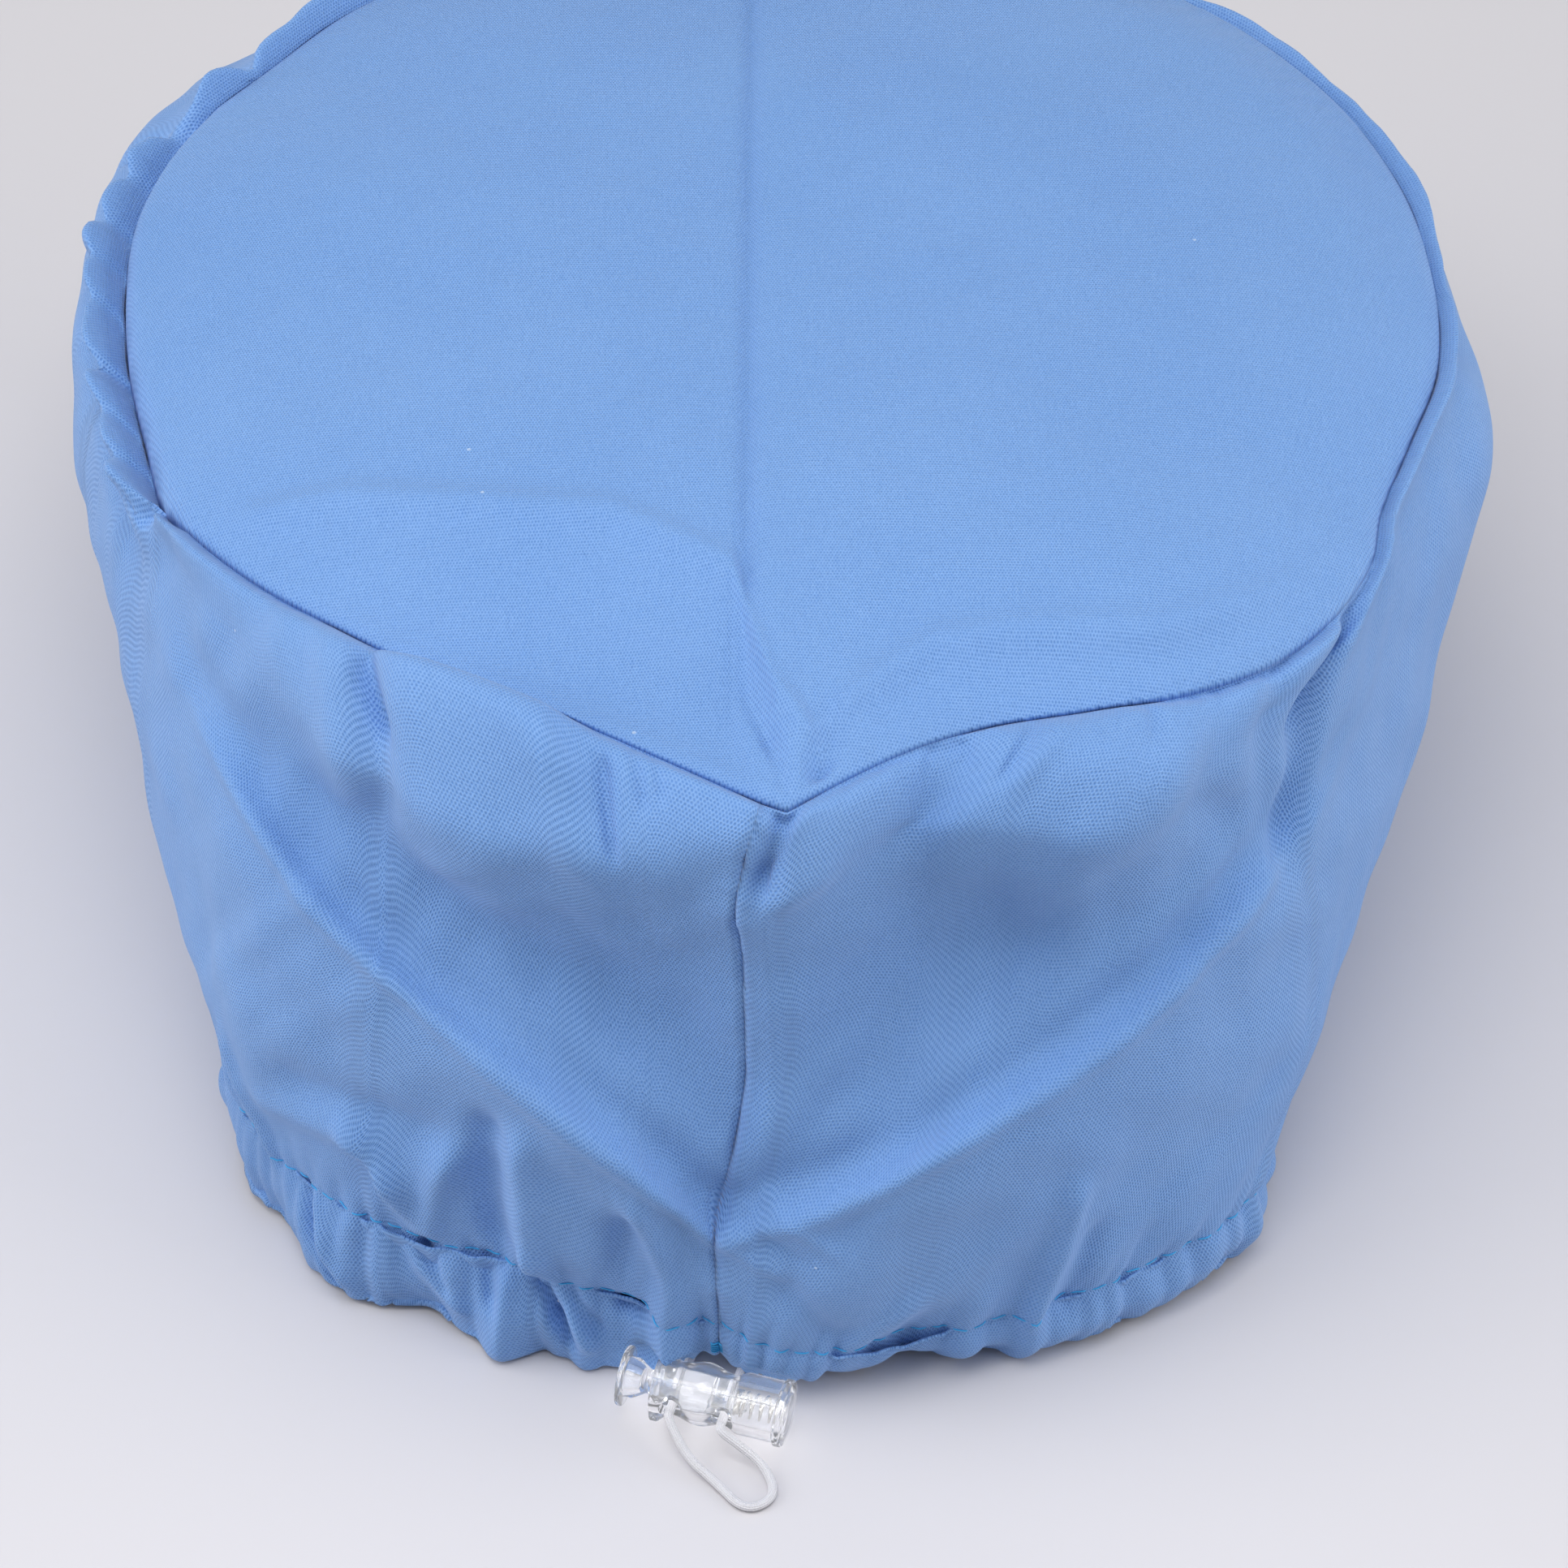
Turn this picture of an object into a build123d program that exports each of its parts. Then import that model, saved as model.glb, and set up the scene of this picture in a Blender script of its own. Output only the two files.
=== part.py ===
"""Surgical scrub cap with a drawcord hem and a spring cord lock.

The cap stands on its hem. The origin is the middle of its footprint on the
table, cord loop apart. +X is the wearer's right, +Y the forehead, +Z up.
A domed crown panel is sewn on two side panels, which meet at the centre back
and centre front. The lower edge is a double casing with a tunnel, in which a
round elastic runs all the way round. Its two ends leave through a slot at the
back, pass the two cross holes of the cord lock and join in a free loop.
"""
from build123d import *
import math
import os

# ---------------------------------------------------------------- cap, in mm
cloth = 1.0                   # one layer of cotton with its seam allowances
hem_width = 154.0             # gathered opening, side to side
hem_back = -112.0             # outside of the hem at the centre back
hem_front = 97.0
casing_height = 15.0          # hem fold to stitch line
tunnel_gap = 2.4              # free space between the two layers of the casing
stitch_margin = 2.0           # the layers lie together above the tunnel

crown_width = 198.0
crown_back = -103.5           # pointed tip of the crown panel
crown_front = 125.5
crown_back_height = 112.0     # seam above the table at the tip
crown_front_height = 88.0
crown_dome = 8.0              # middle of the crown above its seam

bulge_width = 210.0           # where the side panels stand out most
bulge_back = -115.5
bulge_front = 128.3
bulge_height = 76.0
flank_swell = 2.5             # halfway down, outside a straight taper
widest_y = 8.0                # where every level is widest

# Straight runs of every level's half outline, back to front, in degrees from
# +X. They keep their directions at all heights, so the walls between the
# levels stay close to flat and their cloth could be cut flat.
run_angles = (5, 21, 50, 72, 90, 103, 125, 150, 180)
# How far the runs between the back, the side and the front lie out, as shares
# of an ellipse's reach in the same direction
hem_fullness = ((1.075, 1.222, 1.205), (1.069, 1.148, 1.086))
bulge_fullness = ((1.018, 1.028, 0.985), (1.033, 1.059, 1.041))
crown_fullness = ((0.957, 1.041, 1.014), (1.030, 1.054, 1.014))
run_bevel = 0.3               # share of a run taken by the bevel at each end

# --------------------------------------------------------- drawcord and slot
cord_diameter = 1.4
cord_wales = 8                # flat ribs of its knitted cover
slot_x = -3.0                 # middle of the slot, beside the back seam
slot_width = 12.0
slot_height = 5.0
slot_turn_radius = 1.9        # the elastic turns this tight into the slot
mouth_reach = 0.4             # it ends this far outside the cloth
tunnel_rounding = 0.48        # share of a run taken by its bend at each end

# ----------------------------------------------------------------- cord lock
lock_side = -12.3             # middle of the barrel's mouth, from the middle
lock_standoff = 6.1           # and behind the outside of the hem
lock_turn = -16.4             # the barrel's axis, degrees from +X
lock_clearance = 0.1          # rim above the table
barrel_length = 20.0
barrel_radius = 4.6           # straight part round the spring
barrel_hump_radius = 4.75     # collar at the mouth, and hump between the holes
barrel_waist_radius = 3.85    # at the cord holes
barrel_hole_radius = 1.7
rim_radius = 5.0
rim_width = 1.2
rim_bevel = 0.35
collar_width = 1.3
collar_bevel = 0.3
bore_radius = 3.1
end_wall = 0.8
hole_start = 3.3              # first cord hole from the mouth
hole_spacing = 7.8
cord_clearance = 0.4          # round the elastic in holes and slots, across
pinch_clearance = 0.25        # the elastic to the end of the plunger's slot
press_travel = 2.2
plunger_clearance = 0.2
head_radius = 4.5
head_width = 0.8
head_reach = 5.2              # face of the head in front of the mouth
head_boss_radius = 3.0        # behind the head, before the cone
head_boss_width = 1.2
head_hollow = (2.3, 1.4, 2.8)  # radius at its face and floor, depth
neck_radius = 1.8
neck_length = 0.8
plunger_wall = 0.7            # behind the second slot
pilot_radius = 1.15
pilot_length = 1.4
spring_radius = 1.75          # middle of the wire
spring_wire = 0.4
spring_turns = 3.5
spring_clearance = 0.05
slide_travel = 10.0

# Free loop of the elastic: along the lock from its mouth, out from its axis,
# and above the table
loop_points = [
    (7.6, 9.4, 2.1),
    (12.2, 11.3, 0.8),
    (17.8, 14.8, 0.7),
    (20.6, 11.4, 0.7),
    (18.4, 7.3, 1.3),
    (14.2, 6.0, 3.6),
]
loop_start = 0.9              # straight run out of each hole

# ------------------------------------------------------------ derived values
casing_thickness = 2 * cloth + tunnel_gap
cord_radius = cord_diameter / 2
lock_axis_height = rim_radius + lock_clearance
stem_radius = bore_radius - plunger_clearance
holes = (hole_start, hole_start + hole_spacing)
hole_radius = cord_radius + cord_clearance

turn = math.radians(lock_turn)
along = Vector(math.cos(turn), math.sin(turn), 0)       # mouth to closed end
outward = Vector(math.sin(turn), -math.cos(turn), 0)    # the way the cord leaves
lock_mouth = Vector(lock_side, hem_back - lock_standoff, lock_axis_height)
lock_plane = Plane(origin=lock_mouth, x_dir=outward, z_dir=along)

crown_slope = math.atan2(
    crown_back_height - crown_front_height, crown_front - crown_back)
seam_plane = Plane(
    origin=(0, (crown_back + crown_front) / 2,
            (crown_back_height + crown_front_height) / 2),
    x_dir=(1, 0, 0),
    z_dir=(0, math.sin(crown_slope), math.cos(crown_slope)))
crown_reach = (crown_width + crown_front - crown_back) / 4
dome_radius = (crown_reach ** 2 + crown_dome ** 2) / (2 * crown_dome)


# ------------------------------------------------------------------ outlines
def level(width, back, front, fullness, middle=widest_y):
    """Half outline of a level: the directions of its runs, how far they lie
    from (0, middle), and that middle."""
    rear, brow = fullness
    shares = [None, *rear, 1.0, *brow, None]
    reaches = []
    for angle, share in zip(run_angles, shares):
        turn = math.radians(angle)
        length = middle - back if angle <= 90 else front - middle
        if share is None:      # through the middle of the back or the front
            reaches.append(abs(length * math.cos(turn)))
        else:
            reaches.append(share * math.hypot(
                width / 2 * math.sin(turn), length * math.cos(turn)))
    return run_angles, reaches, middle


def run_normal(angle):
    return math.sin(math.radians(angle)), -math.cos(math.radians(angle))


def bevelled(outline):
    """The same outline with one more run across each of its corners."""
    angles, reaches, middle = outline
    corners = level_corners(outline)
    all_angles, all_reaches = [angles[0]], [reaches[0]]
    for k in range(1, len(angles)):
        before, here, after = corners[k - 1:k + 2]
        start = run_bevel * min(math.dist(before, here), math.dist(here, after))
        turn = math.radians(angles[k - 1])
        x = here[0] - start * math.cos(turn)
        y = here[1] - start * math.sin(turn) - middle
        across = (angles[k - 1] + angles[k]) / 2
        normal = run_normal(across)
        all_angles += [across, angles[k]]
        all_reaches += [x * normal[0] + y * normal[1], reaches[k]]
    return all_angles, all_reaches, middle


def level_corners(outline):
    """Where neighbouring runs meet, and where the ends meet the plane x = 0."""
    angles, reaches, middle = outline
    centre = ((1, 0), 0)
    lines = [centre, *zip(map(run_normal, angles), reaches), centre]
    corners = []
    for (a, c), (b, d) in zip(lines, lines[1:]):
        det = a[0] * b[1] - a[1] * b[0]
        corners.append(((c * b[1] - d * a[1]) / det,
                        (a[0] * d - b[0] * c) / det + middle))
    return corners


def between(lower, upper, share):
    """The outline part of the way from one level to another."""
    angles, reaches, middle = lower
    mixed = [a + (b - a) * share for a, b in zip(reaches, upper[1])]
    return angles, mixed, middle


def inset(outline, depth):
    """The same half outline, moved in by a depth."""
    angles, reaches, middle = outline
    return angles, [reach - depth for reach in reaches], middle


def half_band(outline, thickness, start=0.0):
    """Right half of a closed band, between two insets of its outline."""
    outer = level_corners(inset(outline, start))
    inner = level_corners(inset(outline, start + thickness))
    return make_face(Polyline(*outer, *reversed(inner), close=True))


def full_face(outline):
    """The whole level as one face."""
    corners = level_corners(outline)
    left = [(-x, y) for x, y in reversed(corners[1:-1])]
    return make_face(Polyline(*corners, *left, close=True))


hem_runs = level(hem_width, hem_back, hem_front, hem_fullness)
hem = bevelled(hem_runs)
bulge = bevelled(level(bulge_width, bulge_back, bulge_front, bulge_fullness))
crown = bevelled(level(
    crown_width, crown_back - seam_plane.origin.Y,
    crown_front - seam_plane.origin.Y, crown_fullness,
    middle=widest_y - seam_plane.origin.Y))


def crown_ball(depth):
    """Ball whose surface is the crown's, a depth below its outside."""
    ball = Sphere(dome_radius - depth, rotation=(0, 90, 0))
    return seam_plane * Pos(0, 0, crown_dome - dome_radius) * ball


# ----------------------------------------------------------------- cap parts
def make_crown():
    face = full_face(crown)
    block = seam_plane * extrude(face, crown_dome * 2, both=True)
    return (block & crown_ball(0)) - crown_ball(cloth)


def ring(plane, outline, start=0.0):
    """Corners of a half band of one layer of cloth, on a plane, in 3D."""
    outer = level_corners(inset(outline, start))
    inner = level_corners(inset(outline, start + cloth))
    return [plane.from_local_coords((x, y, 0)) for x, y in outer + inner[::-1]]


def flat_sided(rings):
    """Solid between rings of corners, with flat sides like a ruled loft's."""
    ends = [make_face(Polyline(*corners, close=True))
            for corners in (rings[0], rings[-1])]
    sides = []
    for lower, upper in zip(rings, rings[1:]):
        for k in range(len(lower)):
            a, b, c, d = lower[k - 1], lower[k], upper[k], upper[k - 1]
            sides += [make_face(Polyline(a, b, c, close=True)),
                      make_face(Polyline(a, c, d, close=True))]
    return Solid(Shell([*ends, *sides]))


def make_side_panel():
    halfway = (casing_height + bulge_height) / 2
    flank = inset(between(hem, bulge, 1 / 2), -flank_swell)
    panel = flat_sided([
        ring(Plane.XY.offset(casing_height), hem),
        ring(Plane.XY.offset(halfway), flank),
        ring(Plane.XY.offset(bulge_height), bulge),
        ring(seam_plane, crown),
        ring(seam_plane.offset(crown_dome / 2), crown, start=cloth),
    ])
    return panel & crown_ball(cloth)


def make_casing():
    band = extrude(half_band(hem, casing_thickness), casing_height)
    tunnel_height = casing_height - cloth - stitch_margin
    tunnel = extrude(half_band(hem, tunnel_gap, start=cloth), tunnel_height)
    return band - Pos(0, 0, cloth) * tunnel


def slot_cutter():
    """Opens the casing's outer layer as far as the middle of the tunnel."""
    depth = 2 * cloth + tunnel_gap / 2
    through = Box(slot_width, depth, slot_height)
    return Pos(slot_x, hem_back - cloth + depth / 2, lock_axis_height) * through


# --------------------------------------------------------------------- cords
def tube(path):
    """Round elastic along a path of runs and tangent arcs."""
    start = Plane(origin=path @ 0, z_dir=path % 0)
    return sweep(start * RegularPolygon(cord_radius, cord_wales), path=path)


def hole_line(hole):
    """A point of a cord hole's axis where it meets the barrel's middle."""
    middle = lock_plane.origin + along * hole
    return middle


def on_hole_line(hole, y):
    """The point of a cord hole's axis at a given distance back."""
    middle = hole_line(hole)
    return middle + outward * ((y - middle.Y) / outward.Y)


def tunnel_route():
    """The elastic's corners in the casing, from slot to slot."""
    corners = level_corners(inset(hem_runs, cloth + tunnel_gap / 2))
    back, shoulder = corners[0], corners[1]
    slope = (shoulder[1] - back[1]) / shoulder[0]
    height = lock_axis_height

    def turn_in(hole, side):
        middle = hole_line(hole)
        lean = outward.X / outward.Y
        y = (back[1] + side * slope * (middle.X - lean * middle.Y)) / (
            1 - side * slope * lean)
        return on_hole_line(hole, y)

    mouth_y = hem_back - mouth_reach
    right = [Vector(x, y, height) for x, y in corners[1:-1]]
    left = [Vector(-p.X, p.Y, height) for p in right]
    points = [on_hole_line(holes[0], mouth_y), turn_in(holes[0], -1), *left,
              *reversed(right), turn_in(holes[1], 1),
              on_hole_line(holes[1], mouth_y)]
    turns = free_radii(points, tunnel_rounding)
    turns[0] = turns[-1] = slot_turn_radius
    return FilletPolyline(*points, radius=turns)


def strand_end(hole):
    """Where the elastic comes clear of the barrel on its free side."""
    return hole_line(hole) + outward * barrel_hump_radius


def make_strand(hole):
    """The elastic from the slot through one hole of the lock."""
    start = on_hole_line(hole, hem_back - mouth_reach)
    return tube(Line(start, strand_end(hole)))


def free_radii(points, share=0.45):
    """Arcs that take a share of the shorter run beside each point."""
    radii = []
    for before, here, after in zip(points, points[1:], points[2:]):
        turned = math.radians((here - before).get_angle(after - here))
        shorter = min((here - before).length, (after - here).length)
        radii.append(share * shorter / math.tan(turned / 2))
    return radii


def make_loop():
    first, last = (strand_end(hole) for hole in holes)
    mouth = Vector(lock_mouth.X, lock_mouth.Y, 0)
    points = [first, first + outward * loop_start,
              *[mouth + along * u + outward * w + Vector(0, 0, height)
                for u, w, height in loop_points],
              last + outward * loop_start, last]
    path = FilletPolyline(*points, radius=free_radii(points))
    return tube(path)


# ----------------------------------------------------------------- cord lock
def turned(profile):
    """A piece turned round the lock's axis from a radius-length profile."""
    face = make_face(profile.edges())
    return revolve(Plane.XZ * face, axis=Axis.Z)


def cross_hole(hole, radius, stretch=0.0):
    """Cutter along the cord's direction, lengthened towards the mouth."""
    slot = Pos(0, 0, hole) * Rot(0, 90, 0) * Cylinder(radius, 4 * rim_radius)
    if stretch:
        far = Pos(0, 0, -stretch) * slot
        web = Pos(0, 0, hole - stretch / 2) * Box(
            4 * rim_radius, 2 * radius, stretch)
        slot = slot + far + web
    return slot


def waist(hole, before, after):
    """Profile points of the hollow at a cord hole, between two grip radii."""
    half = holes[0] - collar_width
    low = barrel_waist_radius
    down = [(low + (before - low) * t ** 2, hole - half * t) for t in (1, 0.5)]
    up = [(low + (after - low) * t ** 2, hole + half * t) for t in (0.5, 1)]
    return [*down, (low, hole), *up]


def make_barrel():
    rim_start = barrel_length - rim_width
    with BuildLine() as line:
        Polyline(
            (bore_radius, 0),
            (barrel_hump_radius - collar_bevel, 0),
            (barrel_hump_radius, collar_bevel),
            *waist(holes[0], barrel_hump_radius, barrel_hump_radius),
            *waist(holes[1], barrel_hump_radius, barrel_radius),
            (barrel_radius, rim_start),
            (rim_radius, rim_start),
            (rim_radius, barrel_length - rim_bevel),
            (rim_radius - rim_bevel, barrel_length),
            (0, barrel_length),
            (0, barrel_length - end_wall),
            (bore_radius, barrel_length - end_wall),
            (bore_radius, 0))
    barrel = turned(line.line)
    for hole in holes:
        barrel -= cross_hole(hole, barrel_hole_radius)
    return lock_plane * barrel


def make_plunger():
    back = holes[1] + cord_radius + pinch_clearance + plunger_wall
    neck_end = -neck_length / 2
    boss = head_width - head_reach
    face_hollow, floor_hollow, hollow_depth = head_hollow
    with BuildLine() as line:
        Polyline(
            (0, hollow_depth - head_reach),
            (floor_hollow, hollow_depth - head_reach),
            (face_hollow, -head_reach),
            (head_radius, -head_reach),
            (head_radius, boss),
            (head_boss_radius, boss),
            (head_boss_radius, boss + head_boss_width),
            (neck_radius, neck_end - neck_length),
            (neck_radius, neck_end),
            (stem_radius, neck_end + (stem_radius - neck_radius)),
            (stem_radius, back),
            (pilot_radius, back),
            (pilot_radius, back + pilot_length),
            (0, back + pilot_length),
            (0, hollow_depth - head_reach))
    plunger = turned(line.line)
    for hole in holes:
        end = hole + pinch_clearance - cord_clearance
        stretch = press_travel + 2 * (pinch_clearance - cord_clearance)
        plunger -= cross_hole(end, hole_radius, stretch)
    return lock_plane * plunger


def make_spring():
    back = holes[1] + cord_radius + pinch_clearance + plunger_wall
    start = back + spring_wire / 2 + spring_clearance
    end = barrel_length - end_wall - spring_wire / 2 - spring_clearance
    height = end - start
    coil = Helix(height / spring_turns, height, spring_radius)
    wire = Plane(origin=coil @ 0, z_dir=coil % 0) * RegularPolygon(
        spring_wire / 2, 6)
    spring = sweep(wire, path=coil, is_frenet=True)
    return lock_plane * Pos(0, 0, start) * spring


# -------------------------------------------------------------------- output
def build():
    side_panel = make_side_panel()
    casing = make_casing()
    slot = slot_cutter()
    return {
        "crown_panel": make_crown(),
        "side_panel_right": side_panel,
        "side_panel_left": mirror(side_panel, about=Plane.YZ),
        "hem_casing_right": casing - slot,
        "hem_casing_left": mirror(casing, about=Plane.YZ) - slot,
        "drawcord": tube(tunnel_route()),
        "cord_strand_left": make_strand(holes[0]),
        "cord_strand_right": make_strand(holes[1]),
        "cord_loop": make_loop(),
        "lock_barrel": make_barrel(),
        "lock_plunger": make_plunger(),
        "lock_spring": make_spring(),
    }


if __name__ == "__main__":
    os.makedirs("parts", exist_ok=True)
    for name, solid in build().items():
        export_step(solid, f"parts/{name}.step")
        print(name, round(solid.volume, 1))
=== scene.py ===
"""Looks of the scrub cap: cotton panels, gathered casing, elastic and clear cord lock."""
import math

import bmesh
import bpy
import numpy as np
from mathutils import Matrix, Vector


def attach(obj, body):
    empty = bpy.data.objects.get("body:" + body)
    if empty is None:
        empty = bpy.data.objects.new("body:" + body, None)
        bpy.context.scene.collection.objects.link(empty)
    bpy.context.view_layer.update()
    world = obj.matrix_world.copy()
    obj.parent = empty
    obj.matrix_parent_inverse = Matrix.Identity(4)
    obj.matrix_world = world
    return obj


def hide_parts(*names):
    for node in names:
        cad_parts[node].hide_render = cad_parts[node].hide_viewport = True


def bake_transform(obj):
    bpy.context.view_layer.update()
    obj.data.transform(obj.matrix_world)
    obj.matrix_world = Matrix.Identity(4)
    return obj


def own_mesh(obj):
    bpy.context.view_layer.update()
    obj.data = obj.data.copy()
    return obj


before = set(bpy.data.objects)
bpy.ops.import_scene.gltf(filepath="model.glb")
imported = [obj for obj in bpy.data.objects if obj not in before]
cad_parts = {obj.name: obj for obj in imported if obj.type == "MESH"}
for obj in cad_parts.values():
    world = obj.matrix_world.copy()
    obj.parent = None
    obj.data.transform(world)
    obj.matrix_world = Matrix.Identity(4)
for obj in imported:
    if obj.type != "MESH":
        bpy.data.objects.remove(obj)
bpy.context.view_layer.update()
MM = 0.001


def link_new(name, data):
    """A new object with that data, in the scene."""
    obj = bpy.data.objects.new(name, data)
    bpy.context.scene.collection.objects.link(obj)
    return obj


# ------ camera
CAMERA_ELEVATION = math.radians(46)
CAMERA_DISTANCE = 0.670
CAMERA_ANGLE = math.radians(17.63)
CAMERA_TARGET = Vector((0.0062, -0.1015, 0.1135))


def make_camera():
    look = Vector((0, math.cos(CAMERA_ELEVATION), -math.sin(CAMERA_ELEVATION)))
    data = bpy.data.cameras.new("camera")
    data.angle = CAMERA_ANGLE
    camera = link_new("camera", data)
    camera.location = CAMERA_TARGET - look * CAMERA_DISTANCE
    camera.rotation_euler = look.to_track_quat("-Z", "Y").to_euler()
    bpy.context.scene.camera = camera


# ------ cloth shape
# All lengths of the cloth are in mm until a mesh is made from them.
#
# A station is one place round the cap, seen from above: the crown seam (x, y),
# the pressed crease of the wall (x, y, z), its fullest place below the crease
# (x, y, z), the stitch line of the casing (x, y, z), the lowest fold of the
# casing (x, y), and how round the crease is there, 0 sharp to 1 round.
# They run from the back seam by the right to the front, then back by the left.
SEAM, RIDGE, BELLY = slice(0, 2), slice(2, 5), slice(5, 8)
STITCH, FOLD, ROUND = slice(8, 11), slice(11, 13), slice(13, 14)
RIGHT_STATIONS = [
    (6.6, -104, -3.7, -116.5, 35, -3.6, -117.2, 26, -3.3, -114.6, 15.5, -3, -111.3, 0.6),
    (22, -92.5, 14, -117.5, 44.5, 13.5, -120, 28, 10, -118, 13, 8, -112.5, 0.35),
    (34, -86.8, 27, -117, 54.5, 27, -117.6, 33, 24, -115.5, 12.5, 22, -110, 0.3),
    (48, -83.3, 42, -110.5, 61, 42.5, -112.5, 36, 37, -111.5, 12.5, 35, -109, 0.3),
    (62, -79.3, 57, -102, 68.5, 59, -104, 40, 51, -106.5, 13, 49.5, -106.5, 0.3),
    (74, -72.5, 69, -90.5, 75, 73, -92.5, 44, 63, -99.5, 13.5, 62, -99.5, 0.35),
    (83, -62, 79.5, -78, 78, 83, -80, 46, 73.5, -90.5, 14, 73.5, -92.5, 0.4),
    (89, -50, 87.5, -62, 83.5, 90.5, -65, 50, 79, -77.5, 14, 78.5, -78, 0.5),
    (91.5, -38, 94, -46.5, 87, 96.5, -48, 54, 81, -60, 14, 80, -59.5, 0.6),
    (97, -22, 103, -26, 89, 103, -28, 56, 81.5, -42, 14, 80, -41, 0.8),
    (103, -3, 110, -5, 89, 107.5, -7, 58, 82, -20, 14, 81, -19, 0.9),
    (104.5, 20, 111, 20, 86, 109, 20, 57, 83, 4, 14, 81.5, 4, 1),
    (101.5, 46, 107, 48, 82, 106, 49, 54, 82, 28, 14, 80.5, 28, 1),
    (92, 72, 98, 76, 77, 99, 77, 50, 79, 52, 14, 77.5, 52, 1),
    (74, 96, 79, 101, 73, 80, 102, 47, 69.5, 74, 14, 68.5, 74, 1),
    (46, 114, 49, 120, 71, 50, 121, 46, 47, 89.5, 14, 46, 89, 1),
]
FRONT_STATION = (4, 122.5, 3, 129.5, 70, 3, 130, 46, 2, 96.5, 14, 2, 96, 1)
LEFT_STATIONS = [
    (-38, 113.5, -46, 122.5, 74, -46, 123, 48, -43, 90.5, 14, -42.5, 90, 1),
    (-62, 97, -78, 104.5, 78, -77, 105, 51, -67, 75.5, 14, -66, 75, 1),
    (-77, 76, -92, 81, 84, -92, 82, 55, -76, 53, 14.5, -75, 52, 1),
    (-88.5, 57, -99.5, 58, 87, -100.5, 58, 58, -79, 32, 15, -78, 31, 1),
    (-93.7, 37, -101.5, 37, 88, -103, 36, 59, -80, 11, 15, -79, 10, 0.9),
    (-93.5, 17, -100.7, 15, 90, -101.5, 13, 60, -79.5, -10, 15.5, -78.5, -11, 0.8),
    (-91, -2, -97.6, -3, 90, -98, -6, 60, -79, -30, 16, -78, -30, 0.7),
    (-87, -19, -93, -21, 89, -93.5, -25, 57, -78, -47, 16, -77, -47, 0.6),
    (-83, -34.5, -86.3, -39.5, 87, -88.5, -45, 54, -76.5, -62, 16, -76, -62, 0.5),
    (-77, -45, -79.3, -57, 86, -81.5, -65, 50, -74.5, -75.5, 16.5, -74, -76, 0.4),
    (-67, -56, -70, -76, 83.5, -74, -82, 46, -69, -84.5, 16.5, -68.5, -86, 0.35),
    (-56, -65, -58.5, -91, 77, -62, -93.5, 43, -60.5, -93.5, 18, -61, -96.5, 0.3),
    (-45, -73, -46.5, -101.5, 71.5, -50, -101.5, 41, -49, -100.5, 18.5, -50, -103.5, 0.3),
    (-33, -79, -35, -108.3, 65, -38, -107, 38, -37, -104.8, 18.5, -37.5, -108.5, 0.3),
    (-21.5, -86, -23.5, -113.8, 57.5, -25, -113, 34, -26, -109.3, 18, -26, -111, 0.35),
    (-10, -93.5, -13, -116.5, 48, -13.5, -116, 31, -14, -112, 17, -14, -112, 0.4),
    (3, -102.2, -3.7, -116.5, 35, -3.6, -117.2, 26, -3.3, -114.6, 15.5, -3, -111.3, 0.6),
]
BACK_SEAM = (3.0, -102.2)  # where it meets the crown, left of the tip
TIP_SHARE = 0.008  # part of the way round from it to the tip
SEAM_HEIGHT = 112.0  # crown seam at the tip
SEAM_FALL = 0.1048  # its fall towards the forehead
HEM_CLEARANCE = 0.5  # lowest cloth above the table
COLUMNS = 760
CROWDING = 0.45  # columns stand closer together at the back
WALL_ROWS = 130
CASING_ROWS = 26
FOLD_ROWS = 6
INNER_ROWS = 12


def spline(points, at):
    """Open Catmull-Rom line through evenly spaced points, at 0 to 1."""
    p = np.asarray(points, float)
    p = np.vstack([2 * p[0] - p[1], p, 2 * p[-1] - p[-2]])
    spans = len(p) - 3
    x = np.clip(at, 0, 1) * spans
    i = np.minimum(x.astype(int), spans - 1)
    f = (x - i)[:, None]
    a, b, c, d = p[i], p[i + 1], p[i + 2], p[i + 3]
    return 0.5 * (2 * b + (c - a) * f + (2 * a - 5 * b + 4 * c - d) * f ** 2
                  + (3 * b - a - 3 * c + d) * f ** 3)


def unit(v):
    return v / np.maximum(np.linalg.norm(v, axis=-1, keepdims=True), 1e-9)


def run_along(points):
    """Distance along a line, or down each column, from its first point."""
    run = np.linalg.norm(np.diff(points, axis=0), axis=-1)
    return np.concatenate([np.zeros_like(run[:1]), np.cumsum(run, axis=0)])


def at_run(at, run, line):
    """Points of a line at the given distances along it."""
    return np.stack([np.interp(at, run, line[:, k]) for k in range(3)], 1)


def step(x, low, high):
    f = np.clip((x - low) / (high - low), 0, 1)
    return f * f * (3 - 2 * f)


def seam_height(y):
    return SEAM_HEIGHT - SEAM_FALL * (y - BACK_SEAM[1])


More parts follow.
